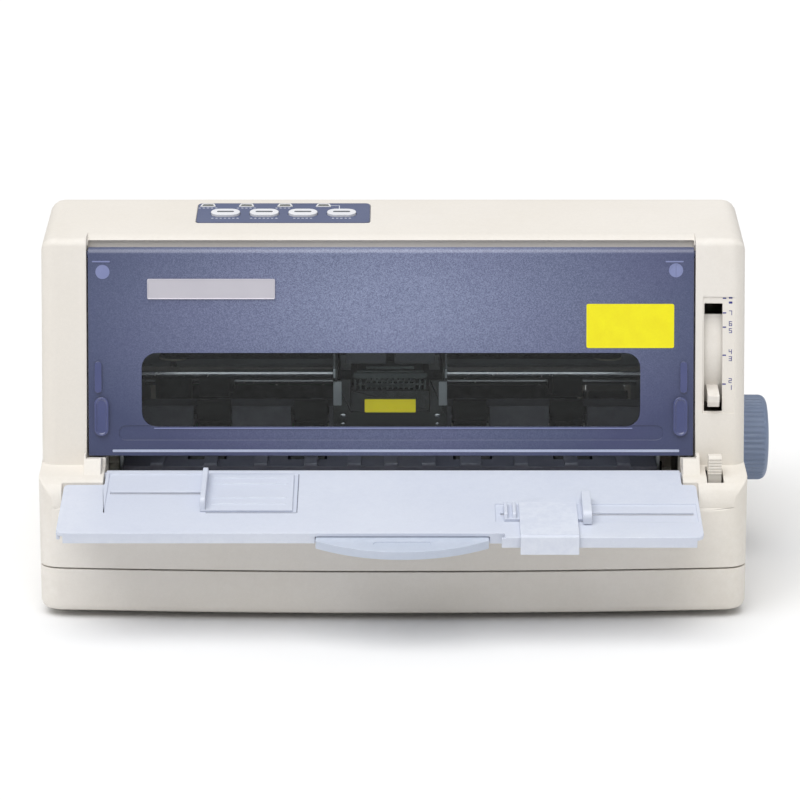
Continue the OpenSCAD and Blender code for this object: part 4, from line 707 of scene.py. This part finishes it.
def nameplate():
    """Bare silver plate with a raised rim."""
    shape = rounded_plate(77.8, 12.4, 0.9, 0.9)
    face = min(shape.faces, key=lambda f: f.calc_center_median().y)
    bmesh.ops.inset_region(shape, faces=[face], thickness=0.5 * MM)
    bmesh.ops.inset_region(shape, faces=[face], thickness=0.15 * MM, depth=-0.3 * MM)
    bmesh.ops.transform(shape, matrix=on_cover(-109.5, -21.0), verts=shape.verts)
    place_piece("nameplate", shape, "front_cover", SILVER, edge=0.1)


def sticker():
    """Plain yellow sticker, without a mark."""
    shape = rounded_plate(53.4, 26.9, 1.2, 0.12)
    bmesh.ops.transform(shape, matrix=on_cover(145.8, -43.5), verts=shape.verts)
    place_piece("plain_sticker", shape, "front_cover", YELLOW_FILM)


def cover_marks():
    """The pegs' ends that show in the cover's upper corners, with a short ledge over each."""
    shape = bmesh.new()
    join(shape, rounded_plate(8.6, 8.6, 4.299, 0.15, 8), on_cover(-175.6, -10.6))
    ring = rounded_plate(8.6, 8.6, 4.299, 0.2, 8)
    face = min(ring.faces, key=lambda f: f.calc_center_median().y)
    bmesh.ops.inset_region(ring, faces=[face], thickness=0.5 * MM)
    bmesh.ops.inset_region(ring, faces=[face], thickness=0.05 * MM, depth=-0.17 * MM)
    join(shape, ring, on_cover(173.5, -9.6))
    for x in (-176.5, 172.6):
        join(shape, rounded_plate(11, 0.9, 0.44, 0.35), on_cover(x, -4.3))
    place_piece("cover_marks", shape, "front_cover", PALE_VIOLET)


def key_place(key):
    """How far along the panel a key lies, from the panel's middle."""
    return (key - 1.5) * KEY_PITCH


def panel_marks():
    """Plain white dashes by the lamps and keys, and the line from the last lamp to its key."""
    shape = bmesh.new()
    rows = []
    for key in range(4):
        x = key_place(key)
        rows += [(x + 2.6 * step, -10.2, 1.5, 0.8) for step in range(-3 + key // 2, 4 - key // 2)]
        lamp = x + LAMP_SHIFT
        rows += [(lamp + 2.6 * step, 8.4, 1.5, 0.8) for step in range(-2, 3 - key // 2)] if key < 3 else []
    for x, y, width, height in rows:
        join(shape, rounded_plate(width, height, 0.3, 0.06, 2), on_panel(x, y))
    join(shape, rounded_plate(8.0, 0.5, 0.2, 0.06, 2), on_panel(30.5, LAMP_ROW))
    join(shape, rounded_plate(0.5, 8.0, 0.2, 0.06, 2), on_panel(34.4, 9.1))
    place_piece("panel_marks", shape, "casing", WHITE_INK)


def lamp_frames():
    """White surrounds of the four lamps, wider at the front."""
    shape = bmesh.new()
    for lamp in range(4):
        x = key_place(lamp) + LAMP_SHIFT
        rim = rounded_plate(9.6, 5.6, 0.7, 0.5)
        for vert in rim.verts:
            if vert.co.z > 0:
                vert.co.x *= 0.78
        face = min(rim.faces, key=lambda f: f.calc_center_median().y)
        bmesh.ops.inset_region(rim, faces=[face], thickness=1.0 * MM)
        bmesh.ops.inset_region(rim, faces=[face], thickness=0.05 * MM, depth=-0.42 * MM)
        join(shape, rim, on_panel(x, LAMP_ROW))
    place_piece("lamp_frames", shape, "casing", FINISH["white_plastic"])


def key_shade_lines():
    """Painted shade: a dark lens-shaped line along each key, where its rim shades its dished middle."""
    for key, name in enumerate(("eject_button", "feed_button", "speed_button", "online_button")):
        shape = rounded_plate(10.6, 1.9, 0.94, 0.25, 6)
        bmesh.ops.transform(shape, matrix=on_panel(key_place(key), KEY_ROW, 1.4), verts=shape.verts)
        place_piece(name + "_shade_line", shape, name, PAINTED_SHADE_INLAY)


# The bars of a plain digit: each one's middle, in half widths and half heights, and whether it is upright.
BARS = {"a": (0, 1, False), "b": (1, 0.5, True), "c": (1, -0.5, True), "d": (0, -1, False),
        "e": (-1, -0.5, True), "f": (-1, 0.5, True), "g": (0, 0, False)}
DIGITS = {"1": "bc", "2": "abged", "3": "abgcd", "4": "fgbc", "5": "afgcd", "6": "afgecd", "7": "abc"}


def digit(shape, name, where, width=1.5, height=2.5, thick=0.42):
    """Adds a plain digit of thin plates to a shape."""
    for bar in DIGITS[name]:
        x, z, upright = BARS[bar]
        size = (thick, height / 2 + thick) if upright else (width + thick, thick)
        join(shape, rounded_plate(size[0], size[1], 0.15, 0.05, 2),
             where @ Matrix.Translation((x * width / 2 * MM, 0, z * height / 2 * MM)))


def dial_marks():
    """Ticks and plain digits beside the thickness lever's slot."""
    shape = bmesh.new()
    face = Matrix.Rotation(-FACE_LEAN, 4, "X")

    def on_dial(x, z):
        """A place on the floor of the dial's recess."""
        lean = (z - 88.5) * sin(FACE_LEAN) / cos(FACE_LEAN)
        return Matrix.Translation(at(x, 28 + lean + 0.8, z)) @ face

    for z, row in ((189.2, ""), (180.4, "7"), (171.8, "65"), (154.9, "43"), (137.5, "21")):
        join(shape, rounded_plate(2.2, 0.8, 0.2, 0.06, 2), on_dial(201.9, z))
        for step, name in enumerate(row):
            digit(shape, name, on_dial(205.6, z + (0 if len(row) == 1 else 2.1 - 4.2 * step)))
    for step in (-3, 0, 3):
        join(shape, rounded_plate(2.2, 1.3, 0.2, 0.05, 2), on_dial(205.6, 189.6 + step))
    place_piece("dial_marks", shape, "casing", BLUE_INK)


def recess_shade_lines():
    """Painted shade: a thin dark line along the edges of the left guide's sunk field, where its step throws shade.
    """
    shape = bmesh.new()
    join(shape, rounded_plate(54, 0.6, 0.2, 0.06, 2), on_tray(-84.6, -54.5))
    join(shape, rounded_plate(0.6, 50, 0.2, 0.06, 2), on_tray(-57.2, -29.4))
    place_piece("recess_shade_lines", shape, "paper_tray", PAINTED_SHADE_LINE)


def cover_trim():
    """The cover's painted highlight under the window, a pale strip where the window's lower edge catches the
    light, and the glossy rims of its thumb pads.
    """
    # painted highlight: a pale strip for the light on the window's lower edge
    sill = rounded_plate(292, 0.7, 0.3, 0.08, 3)
    bmesh.ops.transform(sill, matrix=on_cover(1.4, -106.0), verts=sill.verts)
    place_piece("painted_window_highlight", sill, "front_cover", PALE_VIOLET)
    shape = bmesh.new()
    for side in (-1, 1):
        rim = rounded_plate(8.6, 23.6, 4.2, 0.9, 8)
        face = min(rim.faces, key=lambda f: f.calc_center_median().y)
        bmesh.ops.inset_region(rim, faces=[face], thickness=1.1 * MM)
        bmesh.ops.inset_region(rim, faces=[face], thickness=0.5 * MM, depth=-0.7 * MM)
        join(shape, rim, on_cover(side * (COVER_HALF - 8), 24 - COVER_LENGTH, 1.2))
        join(shape, boxed(4.2, 19.0, 0.5, 1.9), on_cover(side * (COVER_HALF - 6), 48 - COVER_LENGTH, 0.9))
    place_piece("thumb_pads", shape, "front_cover", GLOSSY_TINT, edge=0.3, segments=3)


def screw_head(shape, where, radius=1.9, height=0.9):
    """Adds a domed screw head."""
    head = bmesh.new()
    profile = [head.verts.new((radius * sin(turn) * MM, -height * cos(turn) * MM, 0))
               for turn in (radians(5 + 17 * step) for step in range(6))]
    lines = [head.edges.new(pair) for pair in zip(profile, profile[1:])]
    bmesh.ops.spin(head, geom=profile + lines, cent=(0, 0, 0), axis=(0, 1, 0), angle=2 * pi, steps=20,
                   use_merge=True)
    bmesh.ops.holes_fill(head, edges=[e for e in head.edges if e.is_boundary], sides=0)
    bmesh.ops.recalc_face_normals(head, faces=head.faces)
    join(shape, head, where)


def carriage_front():
    """What the window shows of the carriage: shroud, bare label, screws, brackets and the head's comb."""
    def on_front(x, z, lift=0.0):
        """A place on the carriage's front wall."""
        return Matrix.Translation(at(MECH_X + x, CARRIAGE_FRONT - lift, z))

    shroud = bmesh.new()
    join(shroud, boxed(49.6, 13.4, 2.0), on_front(0, 110.9, -2))
    for side in (-1, 1):
        join(shroud, boxed(9.6, 21.0, 1.6), on_front(side * 29.6, 114.6, 2.0))
    place_piece("carriage_shroud", shroud, "carriage", FINISH["dark_plastic"], edge=0.25)
    label = rounded_plate(32.2, 8.5, 0.6, 0.12)
    bmesh.ops.transform(label, matrix=on_front(0, 107.6), verts=label.verts)
    place_piece("carriage_label", label, "carriage", label_film())
    heads = bmesh.new()
    for side in (-1, 1):
        screw_head(heads, on_front(side * 29.8, 101.2))
        screw_head(heads, on_front(side * 29.8, 95.8), 1.2, 0.6)
        screw_head(heads, on_front(side * 18.6, 126.0, -4.5), 0.8, 0.5)
    place_piece("carriage_screws", heads, "carriage", FINISH["bright_steel"])
    trim = bmesh.new()
    tip = Matrix.Rotation(-atan2(4, 9), 4, "X")
    for side in (-1, 1):
        join(trim, boxed(5.2, 15.4, 0.5), on_front(side * 33.2, 116.4, 3.6))
        join(trim, boxed(1.3, 6.0, 0.4, 0.3), on_front(side * 35.2, 128.6))
        join(trim, boxed(1.3, 9.0, 0.4, 0.3), on_front(side * 35.2, 136.3, -2) @ tip)
    place_piece("carriage_brackets", trim, "carriage", FINISH["sheet_steel"], edge=0.12)
    comb = bmesh.new()
    for fin in range(14):
        join(comb, boxed(1.2, 18.0, 2.6, 0.2), on_front((fin - 6.5) * 3.4, 115.0, -5.4))
    join(comb, boxed(46.0, 3.0, 2.0), on_front(0, 126.4, -5.6))
    place_piece("head_comb", comb, BODY_OF["print_head"], FINISH["cast_alloy"])
    arms = bmesh.new()
    for side in (-1, 1):
        join(arms, boxed(25.6, 7.4, 11.0, 0.8), on_front(side * 15.5, 136.8, -18.6))
    place_piece("cassette_arms", arms, BODY_OF["ribbon_cassette"], ARM_GREY, edge=0.4)


def gutter_lip():
    """The casing's lips behind both covers' rolled edges."""
    shape = bmesh.new()
    join(shape, boxed(2 * (COVER_HALF + 0.8), 20, LIP), COVER @ Matrix.Translation((0, 7.5 * MM, 0.5 * MM)))
    join(shape, boxed(2 * (COVER_HALF + 0.8), 24, LIP), REAR @ Matrix.Translation((0, -5.6 * MM, 3.5 * MM)))
    place_piece("gutter_lip", shape, "casing", PLAIN_IVORY)


def rear_baffle():
    """Guessed dark screens that keep daylight out of the rear vents and the rear cover's slots."""
    shape = boxed(288, 38, 1.0)
    bmesh.ops.transform(shape, matrix=Matrix.Translation(at(-16, 331, 73)), verts=shape.verts)
    place_piece("rear_baffle", shape, "casing", FINISH["dark_plastic"])
    shape = boxed(176, 27, 0.5)
    bmesh.ops.transform(shape, matrix=REAR @ Matrix.Translation((0, 1.95 * MM, SLOT_ROW * MM)),
                         verts=shape.verts)
    place_piece("slot_gauze", shape, "rear_cover", FINISH["dark_plastic"])


def port_frames():
    """Plated rims round the sockets in the back."""
    shape = bmesh.new()
    facing = Matrix.Rotation(pi, 4, "Z")
    for x, width in SOCKETS:
        for side in (-1, 1):
            across = at(x, SOCKET_RIM, SOCKET_LEVEL + side * 4.9)
            upright = at(x + side * (width / 2 - 1.7), SOCKET_RIM, SOCKET_LEVEL)
            join(shape, boxed(width - 1.0, 1.6, 0.25), Matrix.Translation(across) @ facing)
            join(shape, boxed(2.4, 8.4, 0.25), Matrix.Translation(upright) @ facing)
    place_piece("port_frames", shape, "casing", FINISH["sheet_steel"])


def painted_foot_highlight():
    """A pale strip along the foot of the front cover: a painted highlight where its bevel catches the light."""
    shape = boxed(346, 1.6, 0.3, 0.6)
    bmesh.ops.transform(shape, matrix=on_cover(3.0, -119.8), verts=shape.verts)
    place_piece("painted_foot_highlight", shape, "front_cover", PAINTED_EDGE_HIGHLIGHT, edge=0.12)


def build():
    dress_nodes()
    nameplate()
    sticker()
    cover_marks()
    panel_marks()
    lamp_frames()
    key_shade_lines()
    dial_marks()
    recess_shade_lines()
    cover_trim()
    carriage_front()
    gutter_lip()
    rear_baffle()
    port_frames()
    painted_foot_highlight()


build()


# ---- Floor, light and camera ----

def floor():
    """A plain pale floor that keeps the shadow."""
    shape = bmesh.new()
    bmesh.ops.create_grid(shape, x_segments=1, y_segments=1, size=8.0)
    mesh = bpy.data.meshes.new("floor")
    shape.to_mesh(mesh)
    shape.free()
    material, tree, shader, place = new_material("pale floor")
    tone = noise(tree, place, 3.0, 2.0)
    pale = blend_colours(tree, tone, (0.90, 0.90, 0.90, 1.0), (0.92, 0.92, 0.92, 1.0))
    tree.links.new(pale, shader.inputs["Base Color"])
    shader.inputs["Roughness"].default_value = 0.9
    shader.inputs["Specular IOR Level"].default_value = 0.0
    mesh.materials.append(material)
    plane = bpy.data.objects.new("floor", mesh)
    scene.collection.objects.link(plane)


def lights():
    """A wide soft lamp from above the front, and an even grey sky that the camera sees white."""
    lamp = bpy.data.lights.new("soft lamp", "SUN")
    lamp.energy = 2.1
    lamp.angle = radians(60)
    source = bpy.data.objects.new("soft lamp", lamp)
    source.rotation_euler = (radians(24), radians(-12), 0)
    scene.collection.objects.link(source)
    world = bpy.data.worlds.new("studio")
    scene.world = world
    world.use_nodes = True
    tree = world.node_tree
    sky = tree.nodes["Background"]
    sky.inputs["Color"].default_value = (1.0, 1.0, 1.0, 1.0)
    path = tree.nodes.new("ShaderNodeLightPath")
    seen = maths(tree, "MAXIMUM", path.outputs["Is Camera Ray"], path.outputs["Is Transmission Ray"])
    heading = tree.nodes.new("ShaderNodeSeparateXYZ")
    tree.links.new(tree.nodes.new("ShaderNodeTexCoord").outputs["Generated"], heading.inputs[0])
    height = spread(tree, heading.outputs["Z"], 0.0, 0.9, 0.34, 0.62)
    tree.links.new(maths(tree, "MAXIMUM", seen, height), sky.inputs["Strength"])


def camera():
    """The photograph's viewpoint: a long lens, 13 degrees above the desk."""
    lens = bpy.data.cameras.new("camera")
    lens.lens = 157.5
    lens.sensor_width = 36.0
    lens.clip_start = 0.05
    lens.clip_end = 40.0
    eye = bpy.data.objects.new("camera", lens)
    distance = 2.1
    elevation = radians(13)
    target = at(4.2, 0, 136)
    eye.location = target + Vector((0, -distance * cos(elevation), distance * sin(elevation)))
    eye.rotation_euler = (pi / 2 - elevation, 0, 0)
    scene.collection.objects.link(eye)
    scene.camera = eye


floor()
lights()
camera()
scene.view_settings.view_transform = "Standard"
